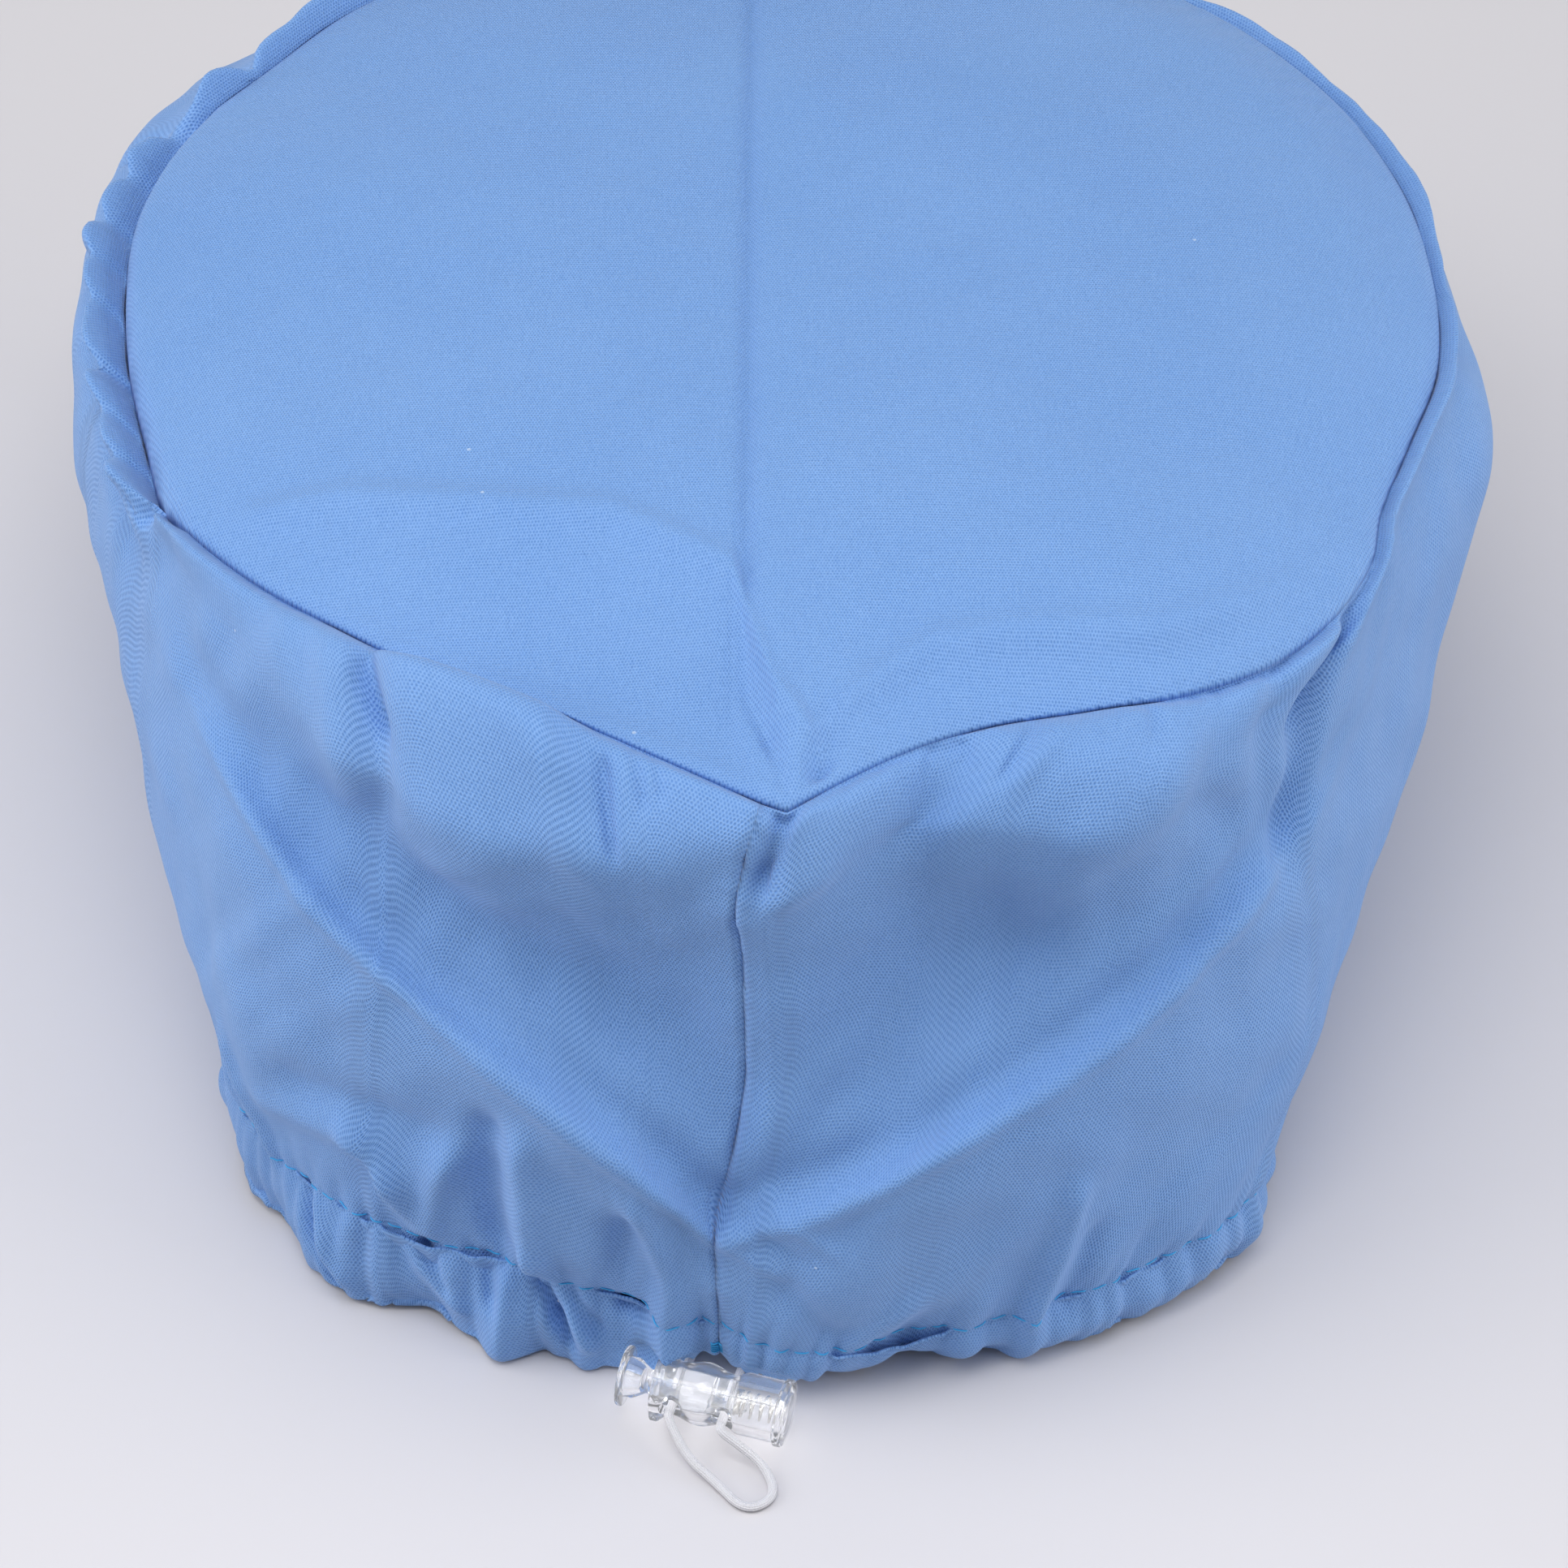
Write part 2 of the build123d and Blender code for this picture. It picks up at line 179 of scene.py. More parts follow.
class Outline:
    """The five lines round the cap, at every column, and how round the crease is."""

    def __init__(self):
        right = RIGHT_STATIONS + [FRONT_STATION]
        left = [FRONT_STATION] + LEFT_STATIONS
        even = np.linspace(0, 1, COLUMNS + 1)
        self.share = even - CROWDING * np.sin(2 * np.pi * even) / (2 * np.pi)
        half = self.share <= 0.5
        r = self.share[half] * 2
        l = (self.share[~half] - 0.5) * 2

        def line(part):
            return np.vstack([spline([s[part] for s in right], r),
                              spline([s[part] for s in left], l)])

        self.ridge, self.belly, self.stitch = line(RIDGE), line(BELLY), line(STITCH)
        self.round = line(ROUND)[:, 0]
        self.round = self.round * (0.65 + 0.35 * step(self.round, 0.3, 0.6))
        fold = line(FOLD)
        self.fold = np.c_[fold, np.full(len(fold), HEM_CLEARANCE)]
        tip = np.array(RIGHT_STATIONS[0][SEAM])
        seam = line(SEAM)
        past = np.clip((r - 2 * TIP_SHARE) / (1 - 2 * TIP_SHARE), 0, 1)
        seam[half] = spline([s[SEAM] for s in right], past)
        near = self.share < TIP_SHARE
        f = (self.share[near] / TIP_SHARE)[:, None]
        seam[near] = np.array(BACK_SEAM) * (1 - f) + tip * f
        self.seam = np.c_[seam, seam_height(seam[:, 1])]
        across = unit(np.gradient(smooth_round(self.ridge, 31), axis=0))
        self.out = unit(np.c_[across[:, 1], -across[:, 0], 0 * across[:, 0]])
        arc = run_along(self.ridge)
        self.round_length = arc[-1]
        # Distance round from the back seam: right positive, left negative.
        self.way = np.where(self.share <= 0.5, arc, arc - self.round_length)


def smooth_round(line, width):
    """Average along an open line, keeping its ends."""
    kernel = np.hanning(width + 2)[1:-1]
    kernel /= kernel.sum()
    pad = width // 2
    long = np.vstack([2 * line[0] - line[pad:0:-1], line,
                      2 * line[-1] - line[-2:-pad - 2:-1]])
    return np.stack([np.convolve(long[:, k], kernel, "valid")
                     for k in range(line.shape[1])], 1)


SAMPLES = 26  # of each stretch between a column's points


def hermite(points, bend):
    """Line through each column's points; bend below 1 tightens it at a point."""
    p = np.stack(points)  # point, column, xyz
    span = np.linalg.norm(np.diff(p, axis=0), axis=2)[..., None]
    slope = np.diff(p, axis=0) / span
    tangent = np.empty_like(p)
    tangent[0], tangent[-1] = slope[0], slope[-1]
    before, after = span[:-1], span[1:]
    tangent[1:-1] = (slope[:-1] * after + slope[1:] * before) / (before + after)
    tangent *= np.stack(bend)[..., None]
    f = np.linspace(0, 1, SAMPLES, endpoint=False)[:, None, None]
    parts = []
    for a, b, m, n, d in zip(p, p[1:], tangent, tangent[1:], span):
        parts.append(a * (2 * f ** 3 - 3 * f ** 2 + 1) + m * d * (f ** 3 - 2 * f ** 2 + f)
                     + b * (3 * f ** 2 - 2 * f ** 3) + n * d * (f ** 3 - f ** 2))
    return np.concatenate(parts + [p[-1:]])


def resample(dense, fractions):
    """Rows at the given shares of each column's length."""
    total = run_along(dense)
    out = np.empty((len(fractions), dense.shape[1], 3))
    for j in range(dense.shape[1]):
        out[:, j] = at_run(fractions * total[-1, j], total[:, j], dense[:, j])
    return out


# Where the crease runs low, the wall first stands out in a shelf and then falls
# in a hollow: (way, share of the crease's distance out, share of its drop).
SHELF = [(-90, 0.58, 0.26), (-60, 0.68, 0.17), (-45, 0.72, 0.15), (-25, 0.56, 0.14),
         (-8, 0.40, 0.12), (0, 0.37, 0.13), (10, 0.36, 0.10), (30, 0.37, 0.08),
         (45, 0.50, 0.10), (58, 0.70, 0.14), (80, 0.64, 0.19), (110, 0.42, 0.35)]
HOLLOW = [(-90, 0.52, 0.72), (-60, 0.56, 0.72), (-45, 0.56, 0.72), (-25, 0.44, 0.72),
          (0, 0.36, 0.70), (12, 0.33, 0.64), (30, 0.33, 0.63), (45, 0.36, 0.63),
          (60, 0.58, 0.64), (80, 0.54, 0.68)]


def part_way(o, table, share):
    """Points between the crown seam and the crease, by a table of shares."""
    way, out, down = np.array(table, float).T
    reach = o.ridge - o.seam
    low = step(np.linalg.norm(reach, axis=1), 14, 45)[:, None]
    shares = smooth_round(np.stack([np.interp(o.way, way, out),
                                    np.interp(o.way, way, down)], 1), 15)
    placed = reach * np.c_[shares[:, 0], shares[:, 0], shares[:, 1]]
    return o.seam + (1 - low) * share * reach + low * placed


def seam_groove(o):
    """How far the crown seam lies below the cloth beside it."""
    way = [-300, -248, -236, -140, -122, -62, -54, -34, -28, 4, 12, 60, 72, 200]
    depth = [0.8, 0.8, 5.4, 5.4, 1.5, 1.3, 0.5, 0.5, 1.2, 1.6, 1.2, 1.2, 1.6, 1.8]
    return np.interp(o.way, way, depth)


def wall_grid(o):
    """Plain wall and casing: rows from the crown seam down, then up inside.

    Also returns how far down its column each crease point lies."""
    one = np.ones(len(o.share))
    way = [-320, -295, -250, -236, -140, -118, -70, -54, -34, -26, 0, 0.5, 30, 50]
    rise = [0.6, 2.6, 3, -0.6, -0.8, 0.6, 0.7, 2.9, 2.9, 0.7, 0.4, -1, -0.8, 0]
    lift = np.interp(o.way, way, rise)[:, None]
    seam = o.seam - UP * seam_groove(o)[:, None]
    shoulder = o.seam + o.out * 2.6 + UP * lift
    shelf = part_way(o, SHELF, 0.3)
    hollow = part_way(o, HOLLOW, 0.7)
    # At the left side the cloth rises again beyond a valley along the seam.
    strip = step(-o.way, 130, 146)[:, None] * step(o.way, -250, -237)[:, None]
    shoulder = shoulder + strip * (o.seam + o.out * 2.4 - UP * 3.0 - shoulder)
    shelf = shelf + strip * (o.seam + o.out * 5.8 - UP * 0.3 - shelf)
    stitch = o.stitch + o.out * 0.9
    belly = np.interp(o.way, [-200, -130, -12, 6], [2.2, 1.5, 1.3, 2.4])[:, None]
    middle = (stitch + o.fold) / 2 + o.out * belly
    bottom = o.fold
    dense = hermite([seam, shoulder, shelf, hollow, o.ridge, o.belly, stitch],
                    [one, 0.7 * one, 0.9 * one, 0.9 * one, o.round, one, one])
    wall = resample(dense, (np.arange(WALL_ROWS + 1) / WALL_ROWS) ** 1.2)
    casing = resample(
        hermite([stitch, middle, bottom], [one, one, 0.6 * one]),
        np.arange(1, CASING_ROWS + 1) / CASING_ROWS)
    inner_low = bottom - o.out * 3.0 + UP * 1.0
    inner_middle = middle - o.out * 4.8
    inner_top = stitch - o.out * 0.9 - UP * 0.3
    inner = resample(
        hermite([bottom, inner_low, inner_middle, inner_top],
                [0.6 * one, one, one, one]),
        np.arange(1, FOLD_ROWS + INNER_ROWS + 1) / (FOLD_ROWS + INNER_ROWS))
    crease = run_along(dense)[4 * SAMPLES]
    return np.concatenate([wall, casing, inner]), crease


def normals(grid):
    """Unit normals of a grid of points, pointing out of the cap."""
    down = np.gradient(grid, axis=0)
    along = np.gradient(grid, axis=1)
    return unit(np.cross(down, along))


# Folds, puckers and mounds of the wall. Each runs between two
# places, by their way round and distance below the crown seam (for HEM_FOLDS above
# the stitch line): (way, distance, way, distance, half width, height). A negative
# height is a valley.
SEAM_FOLDS = [
    # left of the back seam
    (-67, -1, -63.5, 14, 2.2, -3), (-64, 12, -66, 34, 4.5, -2.2),
    (-72, 4, -71, 26, 5, 1.3), (-52, 6, -34, 9, 9, 3.8), (-56, 14, -50, 30, 8, 1.4),
    (-28, 6, -26, 12, 4, -1.6), (-24.5, 8, -23, 17, 1.3, -1.5),
    (-21, 1, -18, 9, 1.1, -0.9), (-17.5, 1, -15.5, 7, 1, -0.8),
    (-28, 21, -4, 9, 4.5, 1.6),
    # tip and right of it
    (5, -1, 4, 12.5, 2.6, -4.2), (2.5, 15.5, 13, 14, 2.6, 0.9), (10, 8, 24, 5, 6, 1.6),
    (31, 7, 29, 15, 7.5, -2.9), (47.5, -1, 43, 8.5, 1.3, -1.5),
    (51, 0, 47, 10, 2.2, 0.9), (44, 9, 68, 13, 7.5, 2.6), (66, -1, 66.5, 6, 1.2, -0.9),
    (35, -1, 35.5, 4, 1.2, -0.9), (79, 2, 83, 20, 6, -1.3), (92, 2, 96, 26, 3.5, -1.5),
    (36, 8, 22, 16, 5, -1.2),
    # right corner, inside the crease
    (134, -2, 113, 5, 3, -2.8), (113, 4, 106, 14, 3.6, -3.1),
    (106, 13, 104, 34, 4, -3.2),
    # left corner and the puffed strip at the left side
    (-129, -1, -143, 9, 1.7, -2.8), (-135, 1, -147, 7, 2.4, 1.6),
    (-148, 1, -154, 9, 1.5, -2.2), (-160, 2, -166, 8, 1.3, -1.5),
    (-167, 2, -173, 8, 3, 1.4), (-173, 0, -180, 12, 1.7, -3.3),
    (-189, 1, -194, 9, 1.4, -2.2), (-202, 1, -206, 11, 1.6, -2.6),
    (-213, 1, -217, 12, 1.6, -2.8), (-226, 1, -229, 10, 1.5, -2),
    (-240, -1, -243, 14, 2, -3.2), (-250, 2, -252, 9, 4, 1.2),
    (-260, -1, -262, 12, 2, -2.4),
]
HEM_FOLDS = [
    # wall, left of the back seam
    (-90, 15, -68, 19, 3.2, 1.5), (-67, 19, -61, 14, 2.8, 1.7),
    (-61, 14, -59, 8, 2.4, 1.6), (-80, 24, -58, 25, 4, -1.3),
    (-50, 21, -55, 4, 2.6, 1.6), (-44, 30, -43, 6, 3, -2.7),
    (-38, 32, -35, 8, 2.6, 1.7), (-35, 8, -32, 2, 2.2, 1.6),
    (-21, 18, -21, 12, 3, -1.5), (-18, 24, -11, 9, 2.8, 1.2),
    (-104, 18, -98, 2, 2.6, 1.3), (-118, 16, -114, 2, 2.6, -1.3),
    # wall, right of it
    (3, 19, 10, 17, 1.2, 0.7), (5, 24, 13, 21, 1.2, -0.8), (8, 29, 19, 24, 1.3, 0.7),
    (14, 12, 22, 5, 3, -1.2), (34, 9, 28, 2, 2.6, 1.2), (60, 26, 60, 1, 2.2, 1.5),
    (66, 14, 67, 1, 2.4, -1.1),
    # casing, left of the slot
    (-84, -2, -76, -15, 1.7, -1.4), (-80, -2, -73, -12, 1.6, 0.8),
    (-63.5, -2, -63.5, -13, 1.7, 0.9), (-61.5, -3, -57, -11, 1.5, -0.4),
    (-56, -2, -52.5, -8, 1.2, -1.2), (-55, -6, -50, -11, 1.7, 0.8),
    (-45, -2, -44, -7, 1.4, -1.1), (-41, -4, -42, -15, 2, 1),
    (-35, 0, -31, -7.5, 1.2, -1.5), (-31, -7.5, -29, -12, 1.1, -1.4),
    (-29.5, -2.5, -25.5, -10, 1.6, 0.9), (-28, -2, -24.5, -7, 1.1, -1),
    (-18.8, -2, -17.2, -2, 1.4, -2.2),
    # flap over the lock
    (-10, -1, -10, -7.5, 4.6, 3.2),
]
# How far the lowest fold of the casing stands out: (way, outward).
HEM_LOBES = [
    (-200, 0), (-112, 2), (-96, -0.4), (-81, 0.3), (-73, 1), (-66, -0.1), (-59, -3.6),
    (-53, -1.8), (-48, -0.2), (-43, 1.7), (-40, 0.2), (-36, -2.4), (-32, -1.6),
    (-27, -0.1), (-22, 0.2), (-14, 1.5), (-9, 1.5), (-6, -2), (0, -1.5), (4, 0),
    (8, 0.8), (13, 0.5), (20, 1.3), (24, 0.2), (27, 1.5), (31, 2.4), (35, 0.2),
    (37, -0.8), (44, -0.2), (50, 0.6), (53, -0.1), (61, 0.4), (69, 0.2), (75, 1.6),
    (80, 1.5), (82, 0.7), (85, 2.1), (89, 1.6), (94, 1.1), (100, 0.3), (105, -0.4),
    (113, 0), (122, 0.6), (127, 0.3), (200, 0)]
LOBE_RISE = 8.0  # over which the lobes die out
CASING_STRENGTH = 1.5  # of the HEM_FOLDS that end on the casing
WALL_STRENGTH = 1.15  # of the others
CREST, CREST_WIDTH = 1.5, 1.9  # pressed crease of the wall
VALLEY, VALLEY_WIDTH, VALLEY_ABOVE = 2.1, 4.2, 6.4
GROOVE, GROOVE_WIDTH = 0.6, 0.75  # back seam
LOCK_ROOM = 5.3  # from the lock's axis, kept free of cloth
SLOT_WAY = -3.0  # slot of the casing, where the cord comes out
SLOT_DEPTH = 2.2
SEAM_PLEATS, SIDE_PLEATS = 4.0, 12.0  # spacing of the gathers of the crown seam
SMALL_PLEATS, LARGE_PLEATS = 6.4, 19.0  # and of the casing
BACK_PLEATS, STITCH_PULLS = 4.2, 2.9  # down the back seam, along the stitch line
SEED = 7


def fold_height(x, y, fold):
    """What one fold adds at every point of the cloth."""
    x0, y0, x1, y1, width, rise = fold
    dx, dy = x1 - x0, y1 - y0
    length = math.hypot(dx, dy)
    u = ((x - x0) * dx + (y - y0) * dy) / length
    v = ((y - y0) * dx - (x - x0) * dy) / length
    beyond = np.maximum(0, np.maximum(-u, u - length))
    return rise * np.exp(-(v / width) ** 2 - (beyond / (1.6 * width)) ** 2)


def waves(x, y, rng, length, count=9):
    """Smooth unevenness of about unit height, from seeded long waves."""
    total = 0
    for _ in range(count):
        turn = rng.uniform(0, 2 * math.pi)
        k = 2 * math.pi / (length * rng.uniform(0.7, 1.5))
        total = total + np.cos(k * (x * math.cos(turn) + y * math.sin(turn))
                               + rng.uniform(0, 2 * math.pi))
    return total * math.sqrt(2 / count)


def pleats(way, rng, spacing, spread):
    """Round-topped pleats with sharp valleys, 0 to 1, unevenly spaced."""
    edges = [way.min() - spacing]
    while edges[-1] < way.max() + spacing:
        edges.append(edges[-1] + spacing * rng.uniform(1 - spread, 1 + spread))
    edges = np.array(edges)
    height = rng.uniform(0.35, 1.0, len(edges))
    i = np.clip(np.searchsorted(edges, way) - 1, 0, len(edges) - 2)
    f = (way - edges[i]) / (edges[i + 1] - edges[i])
    return np.sqrt(np.sin(np.pi * f) ** 2 + 0.02) * height[i]


def fold_cloth(o, grid, crease):
    """The wall and casing with their folds, puckers and gathers."""
    rng = np.random.default_rng(SEED)
    drop = run_along(grid)
    way = np.broadcast_to(o.way, drop.shape)
    above = drop[WALL_ROWS] - drop
    out = normals(smooth_grid(grid, 4))
    rows = np.arange(len(grid))[:, None]
    fold_row = WALL_ROWS + CASING_ROWS
    inner = step(rows, fold_row, fold_row + FOLD_ROWS)
    free = step(drop, 0, 2.5)
    height = np.zeros_like(drop)
    for fold in SEAM_FOLDS:
        height += fold_height(way, drop, fold) * free
    for fold in HEM_FOLDS:
        strength = CASING_STRENGTH if fold[3] < 0 else WALL_STRENGTH
        height += strength * fold_height(way, above, fold) * (1 - inner)
    # The pressed crease of the wall: a crest, and a valley just above it.
    back = step(125 - np.abs(way), 0, 40)
    below = drop - crease
    height += CREST * back * np.exp(-(below / CREST_WIDTH) ** 2)
    height -= VALLEY * back * np.exp(-((below + VALLEY_ABOVE) / VALLEY_WIDTH) ** 2)
    # Groove of the back seam, a little wavy.
    ripple = 1 + 0.3 * np.sin(drop / 1.7) + 0.3 * np.sin(drop / 0.45 + 1)
    height -= GROOVE * ripple * np.exp(-(way / GROOVE_WIDTH) ** 2) * step(
        drop, 1, 4) * (1 - inner)
    puckers = pleats(drop[:, 0], rng, BACK_PLEATS, 0.5)[:, None] - 0.5
    height += 0.4 * puckers * np.exp(-(way / 3.5) ** 2) * step(drop, 3, 8) * (1 - inner)
    # Gathers of the crown seam, strongest at the left side.
    side = step(-way, 112, 135) * step(330 + way, 0, 60)
    fine = pleats(way[0], rng, SEAM_PLEATS, 0.45) - 0.55
    height += fine * np.exp(-(drop / 2.8) ** 2) * step(drop, 0, 1.2)
    slanting = pleats(way + 0.55 * drop, rng, SIDE_PLEATS, 0.35) - 0.5
    height += 1.6 * slanting * side * free * np.exp(-((drop - 5) / 5) ** 2)
    # Gathers of the casing: two sizes, dying out up the wall. Some at the back
    # are listed one by one, so the chance ones are weaker there.
    far = 0.55 + 0.45 * step(np.abs(way), 100, 140)
    small = pleats(way[0], rng, SMALL_PLEATS, 0.4) - 0.6
    large = pleats(way[0] + 3, rng, LARGE_PLEATS, 0.4) - 0.6
    rising = np.maximum(above, 0)
    height += far * small * 2.1 * np.exp(-(rising / 5) ** 1.5) * (1 - 0.4 * inner)
    height += far * large * 1.9 * np.exp(-rising / 14) * (1 - 0.5 * inner)
    # Everyday unevenness.
    for size, rise in ((42, 0.5), (22, 0.2), (13, 0.14)):
        height += rise * waves(way, drop, rng, size)
    # Stitching pulls the casing in along its line.
    pull = 0.25 + 0.35 * pleats(way[0], rng, STITCH_PULLS, 0.35)
    height -= pull * np.exp(-(above / 1.3) ** 2) * (inner < 0.5)
    # Close to the crown seam everything moves one way, so that nothing folds over.
    close = (1 - step(drop, 6, 14))[..., None]
    rising_out = unit(0.55 * o.out + 0.83 * UP)
    out = unit(out * (1 - close) + rising_out * close)
    moved = grid + out * (height * (rows > 0))[..., None]
    # Lobes of the lowest fold, and the slot's hollow, move both layers.
    at, outward = np.array(HEM_LOBES, float).T
    lobe = smooth_round(np.interp(o.way, at, outward)[:, None], 9)[:, 0]
    rise = np.abs(drop[fold_row] - drop)
    shift = lobe * np.exp(-(rise / LOBE_RISE) ** 2)
    shift -= SLOT_DEPTH * np.exp(-((way - SLOT_WAY) / 3) ** 2 - (rise / 6) ** 4)
    moved = moved + o.out * shift[..., None]
    # Both panels share the back seam.
    moved[:, 0] = moved[:, -1] = (moved[:, 0] + moved[:, -1]) / 2
    return moved


def clear_of(grid):
    """The cloth pushed off the lock's barrel, and up off the table."""
    away = grid - LOCK_MOUTH
    along = away @ ALONG
    across = away - along[..., None] * ALONG
    gap = np.linalg.norm(across, axis=-1)
    near = step(along, -8, -2) * step(BARREL_LENGTH + 6 - along, 0, 5)
    push = np.maximum(LOCK_ROOM - gap, 0) * near
    grid = grid + across / np.maximum(gap, 1e-6)[..., None] * push[..., None]
    low = softplus((HEM_CLEARANCE - grid[..., 2]) / 0.3) * 0.3
    return grid + UP * np.minimum(low, 3.0)[..., None]


def smooth_grid(grid, rounds, keep=()):
    """Each point moved towards the mean of its four neighbours."""
    g = grid.copy()
    for _ in range(rounds):
        mean = g.copy()
        mean[1:-1, 1:-1] = (g[:-2, 1:-1] + g[2:, 1:-1]
                            + g[1:-1, :-2] + g[1:-1, 2:]) / 4
        mean[1:-1, 0] = (g[:-2, 0] + g[2:, 0]) / 2
        mean[1:-1, -1] = (g[:-2, -1] + g[2:, -1]) / 2
        new = g + 0.5 * (mean - g)
        new[0], new[-1] = g[0], g[-1]
        for row in keep:
            new[row] = g[row]
        g = new
    return g


# ------ crown
CREASE_X = 1.0  # pressed crease of the crown, from the side
CREASE_BACK = -94.0
CREASE_FRONT = 98.0
CROWN_RISE = 8.5  # its middle above the seam
CROWN_ROLL = 2.6  # rounded edge beside the seam
CROWN_RINGS = [0, 0.25, 0.6, 1.0, 1.5, 2.1, 2.8, 3.6, 4.5, 5.6, 6.8, 8.2, 9.6]
CROWN_STEP = 1.1
# Soft break of the crown towards the back, left and right of the tip's valley
CROWN_BREAK = [(-100, -20), (-90, -40), (-77, -51), (-69, -45), (-56, -43), (-40, -45),
               (-18, -48), (-1, -60), (5, -84), (9.9, -92), (16.5, -84), (26.5, -75),
               (37.6, -72.6), (57.6, -71.8), (72.5, -63.8), (90, -45), (100, -30)]
# Folds of the crown in plan: (x, y, x, y, half width, height)
CROWN_FOLDS = [
    (12.2, -89, 10.7, -98, 2, -1.3), (10.7, -98, 9.4, -103.8, 1.6, -1.3),
    (8, -92, 8.3, -98, 1.8, 0.7), (3, -79.7, 4.5, -92, 1.4, -0.4),
    (4.5, -92, 6.6, -103, 1.3, -0.6),
]


def crease_x(y):
    tip = RIGHT_STATIONS[0][SEAM]
    return CREASE_X + (tip[0] - CREASE_X) * step(-y, 78, -tip[1])


def crown_grid(o):
    """Rings from the seam to the crease; the last ring lies on the crease."""
    seam = o.seam
    # Both sides share the points of the crease, so that they join there.
    y = np.clip((seam[:, 1] + seam[::-1, 1]) / 2, CREASE_BACK, CREASE_FRONT)
    middle = np.c_[crease_x(y), y]
    ray = middle - seam[:, :2]
    length = np.linalg.norm(ray, axis=1)
    count = int((length.max() - CROWN_RINGS[-1]) / CROWN_STEP)
    share = 1 - (1 - np.linspace(0, 1, count + 1)[1:]) ** 1.25
    rings = [np.minimum(k, length * k / 14) for k in CROWN_RINGS]
    last = rings[-1]
    rings += [last + (length - last) * f for f in share]
    away = np.array(rings)  # ring, column
    return seam[None, :, :2] + ray[None] * (away / length)[..., None], away


def crown_surface(o):
    xy, away = crown_grid(o)
    rng = np.random.default_rng(SEED + 1)
    x, y = xy[..., 0], xy[..., 1]
    # Distance from the seam itself, whichever way is shortest.
    edge = o.seam[::3, :2]
    near = np.full(x.shape, 1e9)
    for px, py in edge:
        near = np.minimum(near, np.hypot(x - px, y - py))
    near = np.minimum(near, away)
    near[0] = 0
    groove = seam_groove(o)
    roll = np.clip(near / CROWN_ROLL, 0, 1)
    z = seam_height(y) - groove + (groove + 0.5) * np.sqrt(1 - (1 - roll) ** 2)
    # The panel climbs from its edge and levels out past a soft break.
    line = np.interp(x, *np.array(CROWN_BREAK, float).T)
    soft = 3.6 - 1.6 * step(x, 0, 14)
    back = softplus((line - y) / soft) * soft
    side = CROWN_RISE * (1 - np.exp(-(np.maximum(near - 1, 0) / 24)))
    z = z + side - 0.23 * back * (1 - np.exp(-near / 12))
    z = z + 0.06 * near * np.exp(-near / 8)
    z = z + 1.1 * np.exp(-((line - y) / 3.2) ** 2) * step(near, 2, 9)
    off = x - crease_x(y)
    beside = np.where(off > 0, 0.8 * (1 - np.exp(-off / 7)), 0.3 * (1 - np.exp(off / 5)))
    z = z + (1.3 * beside - 0.9 * np.exp(-(off / 1.4) ** 2)) * step(near, 2, 14)
    for fold in CROWN_FOLDS:
        z = z + fold_height(x, y, fold) * step(near, 0.5, 3)
    z = z + 0.28 * waves(x, y, rng, 60) * step(near, 1, 12)
    z = z + 0.06 * waves(x, y, rng, 16) * step(near, 1, 8)
    return np.stack([x, y, z], -1)


def softplus(v):
    return np.log1p(np.exp(-np.abs(v))) + np.maximum(v, 0)


# ------ cord lock
# Lengths in mm, as in the CAD: along the lock from the barrel's mouth, outward
# from its axis on the side of the loop, and up from the axis.
LOCK_MOUTH = np.array([-12.3, -118.1, 5.1])
ALONG = np.array([0.95931, -0.28234, 0])
OUTWARD = np.array([-0.28234, -0.95931, 0])
UP = np.array([0, 0, 1.0])
HOLES = (3.3, 11.1)
BARREL_LENGTH = 20.0
BORE = 3.1
END_WALL = 0.8
BARREL_HOLE = 1.7
PARTING = 62  # degrees above the outward side
FOOT_AT = 318  # the same, middle of the mouth's swelling
TURN_STEP = 3.75  # degrees between the points of a turned ring
HOLE_SIDES = 48
BARREL_KEYS = [(0.3, 4.75), (1.2, 4.75), (1.5, 4.6), (3.3, 3.98), (7.2, 4.72),
               (11.1, 3.75), (13.4, 4.6), (18.6, 4.6), (18.85, 5.0)]
PRESS_TRAVEL = 2.2
SPRING_RADIUS = 1.75
SPRING_WIRE = 0.2  # radius
SPRING_TURNS = 5.5
SPRING_START = 13.0
SPRING_END = 18.95
CORD_RADIUS = 0.68
STRAND_START = (-6.91, -9.21)  # outward, where the strands leave the slot
CORD_WAYS = (-16, 9)  # the drawcord bends to the slot between these
TUNNEL_SHARE = 0.92  # how near the casing's inner layer it lies
LOOP_EXIT = 4.75
# Free loop: along, outward and above the table, between its straight ends
LOOP_POINTS = [(7.6, 9.6, 2.1), (12.3, 11.5, 0.8), (18.0, 15.4, 0.75),
               (21.6, 11.6, 0.75), (18.6, 7.1, 1.2), (13.8, 6.0, 3.6)]
LOOP_START = 0.9


def on_lock(along, outward, up=0.0):
    """Points in mm from the lock's own three distances."""
    return (LOCK_MOUTH + np.multiply.outer(along, ALONG)
            + np.multiply.outer(outward, OUTWARD) + np.multiply.outer(up, UP))


def eased(keys, at):
    """Smooth curve that is level at each key."""
    u, r = np.array(keys).T
    i = np.clip(np.searchsorted(u, at, "right") - 1, 0, len(u) - 2)
    f = np.clip((at - u[i]) / (u[i + 1] - u[i]), 0, 1)
    return r[i] + (r[i + 1] - r[i]) * f * f * (3 - 2 * f)


